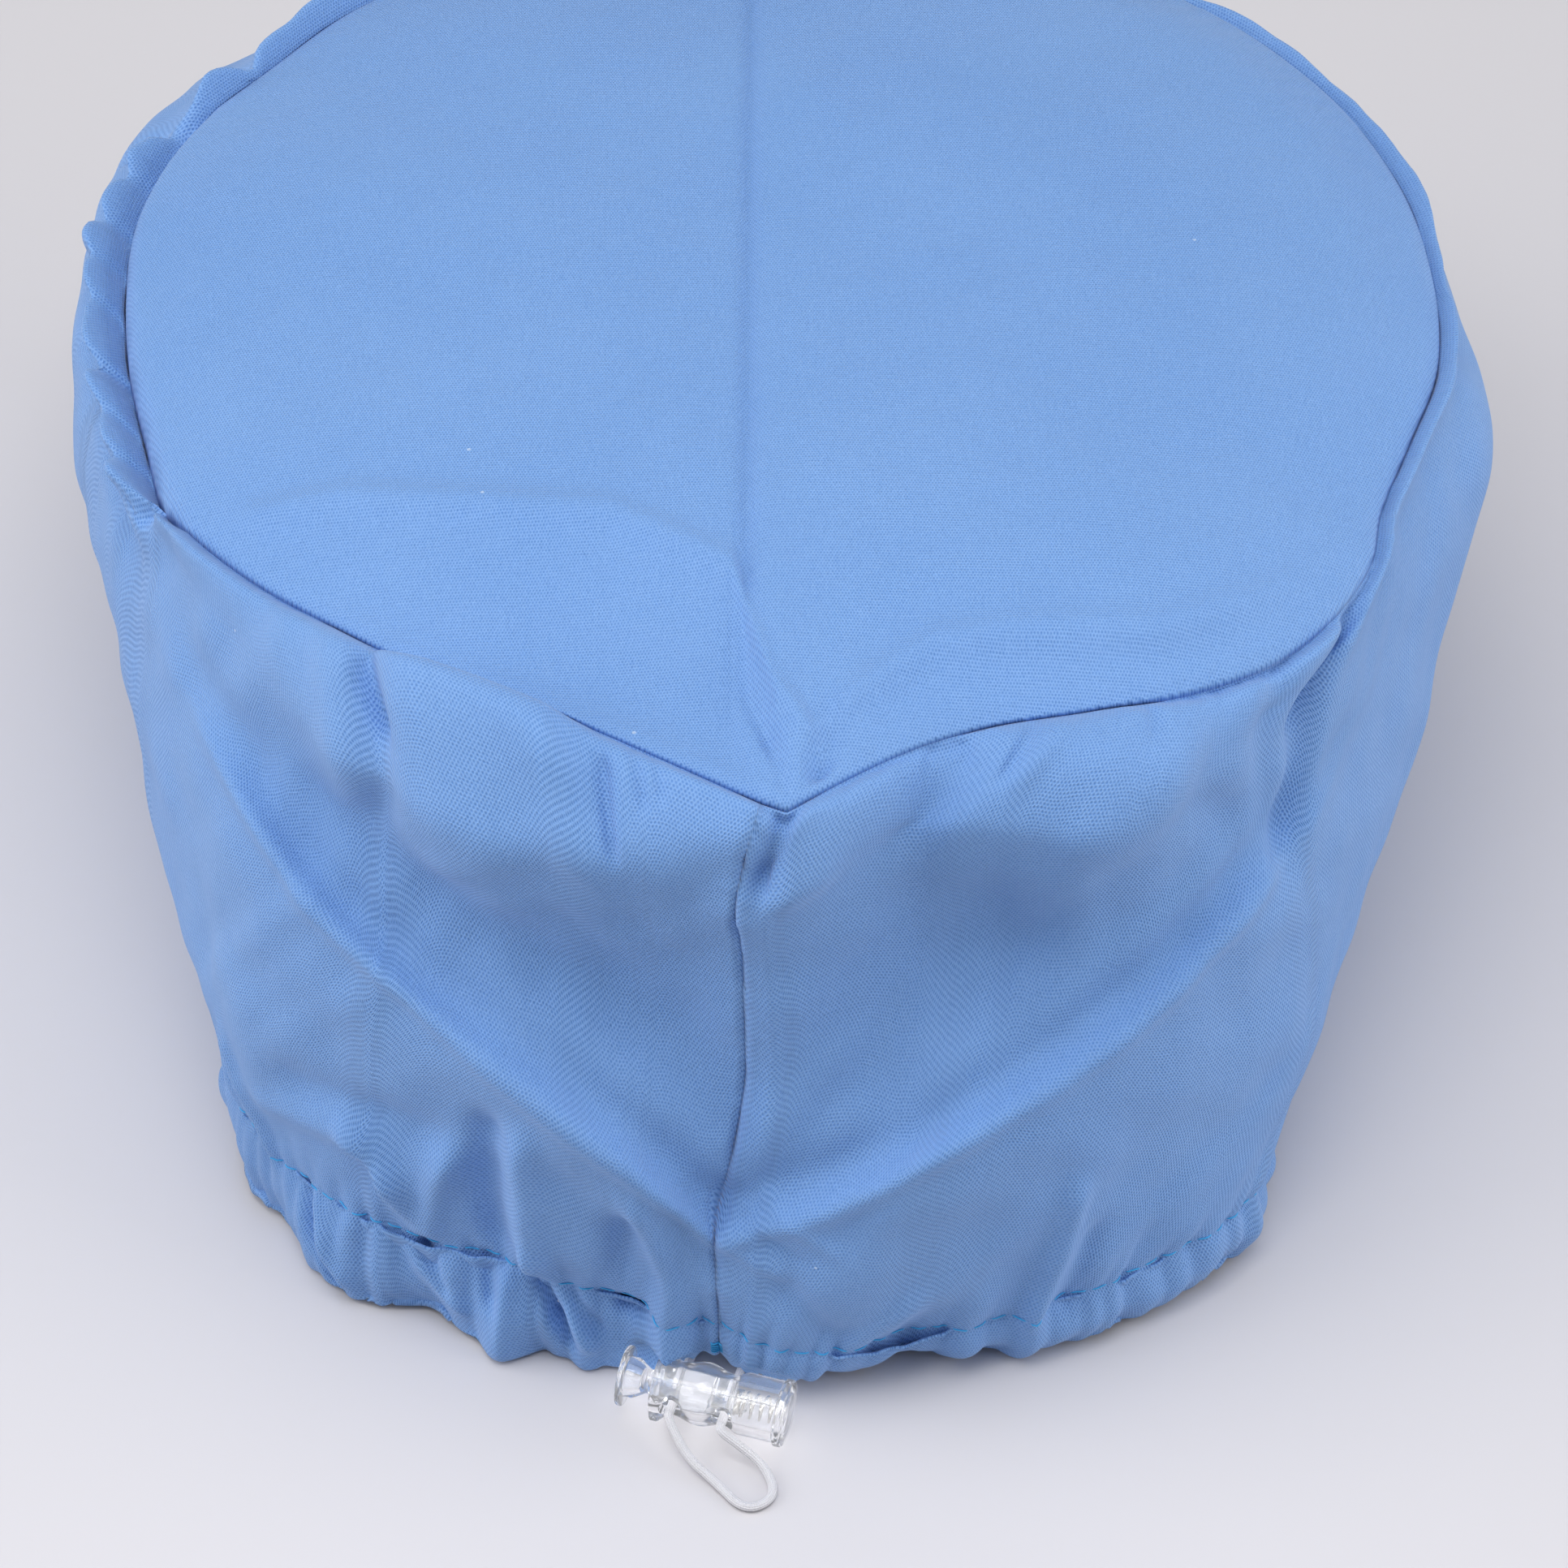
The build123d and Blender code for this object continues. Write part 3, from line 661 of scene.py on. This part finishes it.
def corner(radius, along, size, quarter):
    """Rounded corner of a turned profile; quarter 0 faces the mouth, 1 the end."""
    turn = np.linspace(0, math.pi / 2, 5)
    if quarter == 0:
        return [(radius - size + size * math.sin(t), along + size - size * math.cos(t))
                for t in turn]
    return [(radius - size + size * math.cos(t), along - size + size * math.sin(t))
            for t in turn]


def lathe(name, profile, ridge=0.0, foot=0.0):
    """Piece turned on the lock's axis from (radius, along) points.

    A ridge is the mould's parting line; a foot swells the mouth's low front."""
    turns = list(np.arange(0, 360, TURN_STEP))
    for line in (PARTING, PARTING + 180):
        turns += [line - 1.1, line, line + 1.1]
    turns = np.sort(np.array(turns))
    lines = np.isin(turns, (PARTING, PARTING + 180))
    off = (turns - FOOT_AT + 180) % 360 - 180
    low = np.exp(-(off / 17) ** 2)
    angle = np.radians(turns)
    rings = []
    for radius, u in profile:
        r = np.full(len(turns), float(radius))
        if radius > BORE + 0.3:
            r = r + ridge * lines + foot * low * step(2.4 - u, 0, 1.4)
        rings.append(LOCK_MOUTH + u * ALONG + np.outer(r * np.cos(angle), OUTWARD)
                     + np.outer(r * np.sin(angle), UP))
    obj = make_object(name, np.concatenate(rings), ring_faces(len(rings), len(turns)))
    mend(obj, merge=1e-6)
    return obj


def cut_holes(obj, radius, starts, stretch, bevel):
    """Cross holes along the outward axis, then rounded edges everywhere."""
    n = HOLE_SIDES
    cutters = []
    for start in starts:
        points = []
        for side in (-8.0, 8.0):
            for k in range(n):
                turn = 2 * math.pi * k / n
                u = radius * math.cos(turn) + start
                if k < n / 4 or k > n * 3 / 4:
                    u += stretch
                points.append(on_lock(u, side, radius * math.sin(turn)))
        faces = ring_faces(2, n) + [tuple(range(n - 1, -1, -1)), tuple(range(n, 2 * n))]
        cutter = make_object("cutter", points, faces)
        mend(cutter)
        cut = obj.modifiers.new("hole", "BOOLEAN")
        cut.operation = "DIFFERENCE"
        cut.solver = "EXACT"
        cut.object = cutter
        cutters.append(cutter)
    rounded = obj.modifiers.new("edges", "BEVEL")
    rounded.width = bevel * MM
    rounded.segments = 2
    rounded.limit_method = "ANGLE"
    rounded.angle_limit = math.radians(40)
    apply_modifiers(obj)
    for cutter in cutters:
        bpy.data.objects.remove(cutter)
    obj.data.set_sharp_from_angle(angle=math.radians(35))


def make_barrel(material):
    at = np.r_[np.arange(0.3, 18.6, 0.25), np.linspace(18.6, 18.85, 4)]
    end = BARREL_LENGTH
    profile = [(BORE, 0), (BORE + 0.4, 0), *corner(4.75, 0, 0.3, 0)]
    profile += [(float(eased(BARREL_KEYS, u)), u) for u in at[1:]]
    profile += [*corner(5.0, end, 0.45, 1), (0, end), (0, end - END_WALL),
                (BORE - 0.3, end - END_WALL), (BORE, end - END_WALL - 0.3), (BORE, 0)]
    obj = lathe("lock_barrel_clear", profile, ridge=0.06, foot=0.75)
    cut_holes(obj, BARREL_HOLE, HOLES, 0.0, 0.12)
    obj.visible_shadow = False
    finish_piece(obj, material, "lock", "clear_plastic", "lock_barrel")


def make_plunger(material):
    back = HOLES[1] + 1.65
    face = -5.2
    profile = [(0, face + 2.8), (1.3, face + 2.8), (1.45, face + 2.6), (2.2, face + 0.15),
               (2.35, face), *corner(4.5, face, 0.22, 0)[1:],
               *corner(4.5, face + 0.8, 0.22, 1),
               (3.15, face + 0.8), (3.0, face + 0.95), (3.0, face + 2.0),
               (2.75, face + 2.5), (1.95, -1.45), (1.8, -1.2), (1.8, -0.4),
               (2.9, 0.7), (2.9, back - 0.15), (2.75, back), (1.15, back),
               (1.15, back + 1.25), (1.0, back + 1.4), (0, back + 1.4)]
    obj = lathe("lock_plunger_clear", profile)
    # At rest the elastic lies at the slots' inner ends; pressed, at their outer ends.
    slots = [h + 0.1 - PRESS_TRAVEL for h in HOLES]
    cut_holes(obj, 1.1, slots, PRESS_TRAVEL, 0.1)
    obj.visible_shadow = False
    finish_piece(obj, material, "plunger", "clear_plastic", "lock_plunger")


def make_spring(material):
    turns = np.linspace(0, 1, 260)
    shape = np.interp(turns, [0, 0.17, 0.83, 1], [0, 0.06, 0.94, 1])
    angle = 2 * math.pi * SPRING_TURNS * turns
    path = on_lock(SPRING_START + (SPRING_END - SPRING_START) * shape, 0 * turns)
    path = path + np.outer(SPRING_RADIUS * np.cos(angle), OUTWARD)
    path = path + np.outer(SPRING_RADIUS * np.sin(angle), UP)
    obj = make_object("lock_spring_wire", *tube_mesh([path], SPRING_WIRE, 10))
    finish_piece(obj, material, "lock", "spring_steel", "lock_spring")
    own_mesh(obj)


def finish_piece(obj, material, body, slot, *nodes):
    obj.data.materials.append(material)
    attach(obj, body)
    if nodes:
        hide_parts(*nodes)


# ------ elastic
def along_route(points):
    """Points in mm along one open NURBS curve with those control points."""
    data = bpy.data.curves.new("route", "CURVE")
    data.dimensions = "3D"
    data.resolution_u = 14
    line = data.splines.new("NURBS")
    line.points.add(len(points) - 1)
    for point, place in zip(line.points, points):
        point.co = (*(np.asarray(place) * MM), 1)
    line.order_u = 3
    line.use_endpoint_u = True
    obj = link_new("route", data)
    mesh = bpy.data.meshes.new_from_object(obj)
    found = np.array([v.co for v in mesh.vertices]) / MM
    bpy.data.objects.remove(obj)
    return found


def cord_tube(name, path, sides=20):
    """Round elastic with its own uv: round it and along it, in mm."""
    points, faces = tube_mesh([path], CORD_RADIUS, sides)
    run = run_along(path)
    turn = np.arange(sides) / sides * 2 * math.pi * CORD_RADIUS
    uv = np.stack([np.tile(turn, len(path)), np.repeat(run, sides)], 1)
    return make_object(name, points, faces, uv)


def make_loop(material):
    middle = [on_lock(u, w, height - LOCK_MOUTH[2]) for u, w, height in LOOP_POINTS]
    ends = [[on_lock(h, LOOP_EXIT), on_lock(h, LOOP_EXIT + LOOP_START)] for h in HOLES]
    path = along_route([*ends[0], *middle, *ends[1][::-1]])
    obj = cord_tube("elastic_loop", path)
    finish_piece(obj, material, "lock", "elastic", "cord_loop")
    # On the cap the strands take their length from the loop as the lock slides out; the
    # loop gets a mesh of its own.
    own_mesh(obj)


def make_strands(material):
    for name, hole, start in zip(("left", "right"), HOLES, STRAND_START):
        path = on_lock(np.full(24, hole), np.linspace(start, LOOP_EXIT, 24))
        obj = cord_tube("elastic_strand_" + name, path)
        obj.data.materials.append(material)
        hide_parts("cord_strand_" + name)
        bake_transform(obj)


def make_drawcord(tunnel, way, material):
    """The elastic in the casing's tunnel, from one end of the slot to the other."""
    first, last = (on_lock(h, s) for h, s in zip(HOLES, STRAND_START))
    inside = (way > CORD_WAYS[1]) | (way < CORD_WAYS[0])
    chosen = tunnel[inside][::-1][::4]
    turn_in = [on_lock(h, s - 1.6) for h, s in zip(HOLES, STRAND_START)]
    path = along_route([first, turn_in[0], *chosen, turn_in[1], last])
    obj = cord_tube("elastic_drawcord", path, 12)
    finish_piece(obj, material, "cap", "elastic", "drawcord")


# ------ meshes
def make_object(name, points, faces, uv=None):
    """A mesh object from points in mm, with its uv, also in mm, per point."""
    mesh = bpy.data.meshes.new(name)
    mesh.from_pydata((np.asarray(points) * MM).tolist(), [], faces)
    if uv is not None:
        layer = mesh.uv_layers.new(name="cloth")
        corner = np.empty(len(mesh.loops), int)
        mesh.loops.foreach_get("vertex_index", corner)
        layer.uv.foreach_set("vector", np.asarray(uv, np.float32)[corner].ravel())
    shade_smooth(mesh)
    return link_new(name, mesh)


def shade_smooth(mesh):
    mesh.polygons.foreach_set("use_smooth", [True] * len(mesh.polygons))


def mend(obj, merge=0.0, turn_out=True):
    """Points closer than merge, in m, made one, and the faces turned outward."""
    bm = bmesh.new()
    bm.from_mesh(obj.data)
    if merge:
        bmesh.ops.remove_doubles(bm, verts=bm.verts, dist=merge)
    if turn_out:
        bmesh.ops.recalc_face_normals(bm, faces=bm.faces)
    bm.to_mesh(obj.data)
    bm.free()


def grid_faces(rows, columns, flip=False):
    """Quads of a grid of points numbered row by row."""
    r, c = np.meshgrid(np.arange(rows - 1), np.arange(columns - 1), indexing="ij")
    a = (r * columns + c).ravel()
    quads = np.stack([a, a + columns, a + columns + 1, a + 1], 1)
    return (quads[:, ::-1] if flip else quads).tolist()


def ring_faces(rings, count, first=0):
    """Quads round a tube, whose points are numbered ring by ring from first."""
    edges = [(first + r * count + k, first + r * count + (k + 1) % count)
             for r in range(rings - 1) for k in range(count)]
    return [(a, b, b + count, a + count) for a, b in edges]


def apply_modifiers(obj):
    graph = bpy.context.evaluated_depsgraph_get()
    mesh = bpy.data.meshes.new_from_object(obj.evaluated_get(graph))
    mesh.name = obj.data.name
    obj.modifiers.clear()
    obj.data = mesh
    shade_smooth(mesh)


def thicken(obj, thickness):
    """Cloth of real thickness, added on its inner side."""
    solid = obj.modifiers.new("thickness", "SOLIDIFY")
    solid.thickness = thickness * MM
    solid.offset = -1
    apply_modifiers(obj)


def tube_mesh(paths, radius, sides):
    """Points and faces of round tubes along paths of points."""
    points, faces = [], []
    for path in paths:
        path = np.asarray(path, float)
        ahead = unit(np.gradient(path, axis=0))
        guide = UP
        if abs(ahead[0] @ guide) > 0.9:
            guide = np.array([1.0, 0, 0])
        first = len(points)
        side = unit(np.cross(ahead[0], guide))
        for p, a in zip(path, ahead):
            side = unit(side - a * (side @ a))
            other = np.cross(a, side)
            for k in range(sides):
                turn = 2 * math.pi * k / sides
                round_it = math.cos(turn) * side + math.sin(turn) * other
                points.append(p + radius * round_it)
        last = first + (len(path) - 1) * sides
        faces += ring_faces(len(path), sides, first)
        faces.append(tuple(first + k for k in reversed(range(sides))))
        faces.append(tuple(last + k for k in range(sides)))
    return points, faces


# ------ nodes
def linear(r, g, b):
    """Scene-linear colour from 0-255 display values."""
    def one(v):
        v /= 255
        return v / 12.92 if v <= 0.04045 else ((v + 0.055) / 1.055) ** 2.4
    return (one(r), one(g), one(b), 1.0)


class Nodes:
    """A material's node tree, with short calls for the nodes used here."""

    def __init__(self, name):
        self.material = bpy.data.materials.new(name)
        self.material.use_nodes = True
        self.tree = self.material.node_tree
        self.shader = self.tree.nodes["Principled BSDF"]

    def node(self, kind, **settings):
        node = self.tree.nodes.new(kind)
        for key, value in settings.items():
            setattr(node, key, value)
        return node

    def feed(self, socket, value):
        if isinstance(value, bpy.types.NodeSocket):
            self.tree.links.new(value, socket)
        else:
            socket.default_value = value

    def math(self, operation, a, b=0.0, c=0.0):
        node = self.node("ShaderNodeMath", operation=operation)
        for socket, value in zip(node.inputs, (a, b, c)):
            self.feed(socket, value)
        return node.outputs[0]

    def cloth_uv(self):
        """The cloth's uv, in mm, and its two parts."""
        uv = self.node("ShaderNodeUVMap", uv_map="cloth").outputs["UV"]
        split = self.node("ShaderNodeSeparateXYZ")
        self.feed(split.inputs[0], uv)
        return uv, split.outputs[0], split.outputs[1]

    def place(self):
        return self.node("ShaderNodeTexCoord").outputs["Object"]

    def noise(self, vector, scale, detail=2.0):
        node = self.node("ShaderNodeTexNoise")
        self.feed(node.inputs["Vector"], vector)
        node.inputs["Scale"].default_value = scale
        node.inputs["Detail"].default_value = detail
        return node.outputs["Fac"]

    def scaled(self, vector, scale):
        node = self.node("ShaderNodeMapping")
        self.feed(node.inputs["Vector"], vector)
        node.inputs["Scale"].default_value = scale
        return node.outputs["Vector"]

    def mix(self, share, a, b):
        node = self.node("ShaderNodeMix", data_type="RGBA")
        self.feed(node.inputs["Factor"], share)
        self.feed(node.inputs[6], a)
        self.feed(node.inputs[7], b)
        return node.outputs[2]

    def bump(self, height, distance, strength=1.0):
        node = self.node("ShaderNodeBump")
        node.inputs["Distance"].default_value = distance
        node.inputs["Strength"].default_value = strength
        self.feed(node.inputs["Height"], height)
        return node.outputs["Normal"]

    def set(self, name, value):
        self.feed(self.shader.inputs[name], value)


# ------ stage
ROOM_LIGHT = 0.05  # the world as a light
ROOM_SEEN = 0.62  # the world as metal and plastic show it


def make_stage():
    mesh = bpy.data.meshes.new("floor")
    size = 3.0
    mesh.from_pydata([(-size, -size, 0), (size, -size, 0), (size, size, 0),
                      (-size, size, 0)], [], [(0, 1, 2, 3)])
    link_new("floor", mesh)
    n = Nodes("floor")
    n.set("Base Color", linear(211, 209, 213))
    n.set("Roughness", 0.55)
    n.set("Specular IOR Level", 0.25)
    mesh.materials.append(n.material)


def area_light(name, power, size, place, aim):
    data = bpy.data.lights.new(name, "AREA")
    data.energy = power
    data.size = size
    light = link_new(name, data)
    light.location = place
    light.rotation_euler = (Vector(aim) - Vector(place)).to_track_quat(
        "-Z", "Y").to_euler()


# Softboxes round the cap: (name, watts, size in m, place)
LIGHTS = [
    ("overhead", 7.0, 1.1, (0.0, 0.0, 1.2)),
    ("overhead_front", 2.5, 0.5, (-0.08, -0.3, 0.85)),
    ("overhead_left", 1.6, 0.6, (-0.75, -0.1, 1.0)),
    ("left", 8.3, 1.0, (-1.1, -0.2, 0.5)),
    ("right", 9.0, 1.0, (1.1, -0.2, 0.5)),
    ("front", 1.0, 0.6, (0.0, -1.3, 0.35)),
]


def make_lights():
    world = bpy.data.worlds.new("world")
    world.use_nodes = True
    tree = world.node_tree
    background = tree.nodes["Background"]
    background.inputs["Color"].default_value = (0.98, 0.97, 1.0, 1)
    # Metal and clear plastic see a pale room; the cloth is lit by the lamps.
    path = tree.nodes.new("ShaderNodeLightPath")
    seen = path.outputs["Is Camera Ray"]
    for name in ("Is Glossy Ray", "Is Transmission Ray"):
        either = tree.nodes.new("ShaderNodeMath")
        either.operation = "MAXIMUM"
        tree.links.new(seen, either.inputs[0])
        tree.links.new(path.outputs[name], either.inputs[1])
        seen = either.outputs[0]
    strength = tree.nodes.new("ShaderNodeMapRange")
    strength.inputs["To Min"].default_value = ROOM_LIGHT
    strength.inputs["To Max"].default_value = ROOM_SEEN
    tree.links.new(seen, strength.inputs["Value"])
    tree.links.new(strength.outputs["Result"], background.inputs["Strength"])
    bpy.context.scene.world = world
    middle = (0, -0.05, 0.05)
    for name, power, size, place in LIGHTS:
        area_light(name, power, size, place, middle)
    bpy.context.scene.view_settings.view_transform = "Standard"


# ------ materials
RIB, COURSE = 0.356, 0.34  # of the knitted elastic, in mm


def cotton_material(name, across, down):
    """Plain-weave cotton; across and down are the weave's repeats in mm."""
    n = Nodes(name)
    uv, u, v = n.cloth_uv()
    place = n.place()
    # Yarns wander a little and differ in thickness.
    wander = n.noise(uv, 0.35)
    u = n.math("MULTIPLY_ADD", wander, 0.08, u)
    wander = n.noise(n.scaled(uv, (0.8, 0.3, 1)), 1.0)
    v = n.math("MULTIPLY_ADD", wander, 0.07, v)
    warp = n.math("SINE", n.math("MULTIPLY", u, 2 * math.pi / across))
    weft = n.math("SINE", n.math("MULTIPLY", v, 2 * math.pi / down))
    over = n.math("MULTIPLY", warp, weft)
    rows = n.math("COSINE", n.math("MULTIPLY", v, 4 * math.pi / down))
    height = n.math("MULTIPLY_ADD", rows, 0.35, over)
    slub = n.noise(n.scaled(uv, (0.25, 3.6, 1)), 1.0, 3.0)
    warp_slub = n.noise(n.scaled(uv, (4.2, 0.22, 1)), 1.0, 3.0)
    yarns = n.math("ADD", slub, warp_slub)
    height = n.math("MULTIPLY_ADD", yarns, 0.9, height)
    grain = n.noise(n.scaled(uv, (1.9, 1.9, 1)), 1.0, 3.0)
    height = n.math("MULTIPLY_ADD", grain, 1.4, height)
    # The colour follows the weave's height: painted shade in its low places and painted
    # highlight on its raised crossings and slubs, plus broad random tone.
    tone = n.math("MULTIPLY_ADD", height, 0.21, -0.01)
    broad = n.noise(place, 28.0, 3.0)
    tone = n.math("MULTIPLY_ADD", broad, 0.16, tone)
    colour = n.mix(tone, linear(74, 125, 194), linear(150, 188, 237))
    lint = n.node("ShaderNodeTexVoronoi", feature="F1")
    n.feed(lint.inputs["Vector"], place)
    lint.inputs["Scale"].default_value = 62.0
    speck = n.math("LESS_THAN", lint.outputs["Distance"], 0.018)
    colour = n.mix(n.math("MULTIPLY", speck, 0.5), colour, linear(206, 222, 240))
    n.set("Base Color", colour)
    n.set("Roughness", 0.75)
    n.set("Specular IOR Level", 0.4)
    n.set("Sheen Weight", 0.25)
    n.set("Sheen Roughness", 0.35)
    n.set("Sheen Tint", (0.88, 0.92, 1.0, 1.0))
    n.set("Normal", n.bump(height, 0.00006))
    return n.material


def thread_material():
    n = Nodes("thread")
    n.set("Base Color", linear(40, 160, 222))
    n.set("Roughness", 0.45)
    n.set("Sheen Weight", 0.2)
    return n.material


def clear_material():
    """Moulded clear plastic, with faint flow marks."""
    n = Nodes("clear_plastic")
    n.set("Base Color", (0.97, 0.975, 0.99, 1))
    n.set("Roughness", 0.03)
    n.set("IOR", 1.49)
    n.set("Transmission Weight", 0.94)
    n.set("Normal", n.bump(n.noise(n.place(), 420.0), 0.00002, 0.5))
    return n.material


def elastic_material():
    """Knitted white elastic; uv is round it and along it, in mm."""
    n = Nodes("elastic")
    _, around, along = n.cloth_uv()
    ribs = n.math("SINE", n.math("MULTIPLY", around, 2 * math.pi / RIB))
    slant = n.math("ABSOLUTE", n.math("SINE", n.math("MULTIPLY", around, math.pi / RIB)))
    loops = n.math("SINE", n.math("MULTIPLY_ADD", along, 2 * math.pi / COURSE,
                                  n.math("MULTIPLY", slant, 2.6)))
    height = n.math("MULTIPLY_ADD", loops, 0.6, ribs)
    # The colour follows the knit's height: painted shade between the ribs and loops,
    # painted highlight on their tops.
    tone = n.math("MULTIPLY_ADD", height, 0.16, 0.5)
    n.set("Base Color", n.mix(tone, linear(214, 213, 220), linear(247, 246, 250)))
    n.set("Roughness", 0.38)
    n.set("Transmission Weight", 0.1)
    n.set("IOR", 1.45)
    n.set("Normal", n.bump(height, 0.00004))
    return n.material


def steel_material():
    """Drawn spring wire, slightly streaked along its turns."""
    n = Nodes("spring_steel")
    streak = n.noise(n.scaled(n.place(), (900, 900, 2600)), 1.0)
    n.set("Base Color", n.mix(streak, (0.62, 0.60, 0.56, 1), (0.86, 0.84, 0.79, 1)))
    n.set("Metallic", 1.0)
    n.set("Roughness", n.math("MULTIPLY_ADD", streak, 0.16, 0.14))
    return n.material


# ------ the cloth
CLOTH = 0.42  # one layer
SIDE_WEAVE = (0.62, 1.08)  # the weave's repeats across and down
CROWN_WEAVE = (0.45, 1.04)
TOPSTITCH = (2.7, 0.5, 0.13, 0.12)  # stitch, gap, thread's radius and its lift
TACK_WAY = (-1.9, 0.9)  # ends of the bar tack's stitches
TACK_ROWS = WALL_ROWS + np.arange(7, 12)
TACK_RADIUS = 0.14
THREAD_SIDES = 6


def side_cloth(name, grid, uv, columns, nodes, material):
    part = grid[:, columns]
    obj = make_object(name, part.reshape(-1, 3), grid_faces(*part.shape[:2]),
                      uv[:, columns].reshape(-1, 2))
    thicken(obj, CLOTH)
    finish_piece(obj, material, "cap", "cotton", *nodes)


def crown_cloth(points, material):
    rings, columns = points.shape[:2]
    obj = make_object("crown_cloth", points.reshape(-1, 3),
                      grid_faces(rings, columns, flip=True),
                      points[..., :2].reshape(-1, 2))
    mend(obj, merge=2e-6, turn_out=False)
    thicken(obj, CLOTH)
    finish_piece(obj, material, "cap", "cotton", "crown_panel")


def stitches(line, out, length, gap, radius, lift):
    """Separate stitches laid along a line of points, their ends sunk in the cloth."""
    run = run_along(line)
    arch = lift * np.array([-1.6, 0.6, 1, 1, 0.6, -1.6])[:, None]
    paths = []
    start = gap
    while start + length < run[-1]:
        at = np.linspace(start, start + length, len(arch))
        paths.append(at_run(at, run, line) + unit(at_run(at, run, out)) * arch)
        start += length + gap
    return tube_mesh(paths, radius, THREAD_SIDES)


def bar_tack(grid, out, way, material):
    """Short close stitches across the back seam, at the top of the slot."""
    beside = np.r_[np.flatnonzero(way < 0)[-9:], np.flatnonzero(way >= 0)[:9]]
    at = np.linspace(*TACK_WAY, 9)
    arch = 0.16 - 0.25 * np.abs(np.linspace(-1, 1, 9))[:, None] ** 6
    paths = []
    for row in TACK_ROWS:
        place, facing = (at_run(at, way[beside], g[row, beside]) for g in (grid, out))
        paths.append(place + unit(facing) * arch)
    obj = make_object("bar_tack", *tube_mesh(paths, TACK_RADIUS, THREAD_SIDES))
    finish_piece(obj, material, "cap", "cotton")


make_camera()
make_stage()
make_lights()
outline = Outline()
plain, crease = wall_grid(outline)
cloth = fold_cloth(outline, plain, crease)
cloth = clear_of(smooth_grid(cloth, 2, keep=(WALL_ROWS,)))
crown_points = crown_surface(outline)
face = normals(cloth)
side_cotton = cotton_material("side_cotton", *SIDE_WEAVE)
crown_cotton = cotton_material("crown_cotton", *CROWN_WEAVE)
clear = clear_material()
elastic = elastic_material()
steel = steel_material()
thread = thread_material()

# Both panels have the front column; the left one counts its way from the left.
half = COLUMNS // 2
panels = {"right": slice(0, half + 1), "left": slice(half, COLUMNS + 1)}
right_uv = np.stack([np.broadcast_to(outline.way, cloth.shape[:2]), run_along(cloth)], -1)
left_uv = right_uv.copy()
left_uv[:, half, 0] -= outline.round_length
for name, uv in (("right", right_uv), ("left", left_uv)):
    side_cloth("side_cloth_" + name, cloth, uv, panels[name],
               ("side_panel_" + name, "hem_casing_" + name), side_cotton)
crown_cloth(crown_points, crown_cotton)
bar_tack(cloth, face, outline.way, thread)
for name, columns in panels.items():
    row = make_object("topstitch_" + name, *stitches(
        cloth[WALL_ROWS, columns], face[WALL_ROWS, columns], *TOPSTITCH))
    finish_piece(row, thread, "cap", "cotton")

casing_row = WALL_ROWS + CASING_ROWS // 2
inner_row = WALL_ROWS + CASING_ROWS + FOLD_ROWS + INNER_ROWS // 2
tunnel = (1 - TUNNEL_SHARE) * cloth[casing_row] + TUNNEL_SHARE * cloth[inner_row]
make_drawcord(tunnel, outline.way, elastic)
make_strands(elastic)
make_loop(elastic)
make_barrel(clear)
make_plunger(clear)
make_spring(steel)
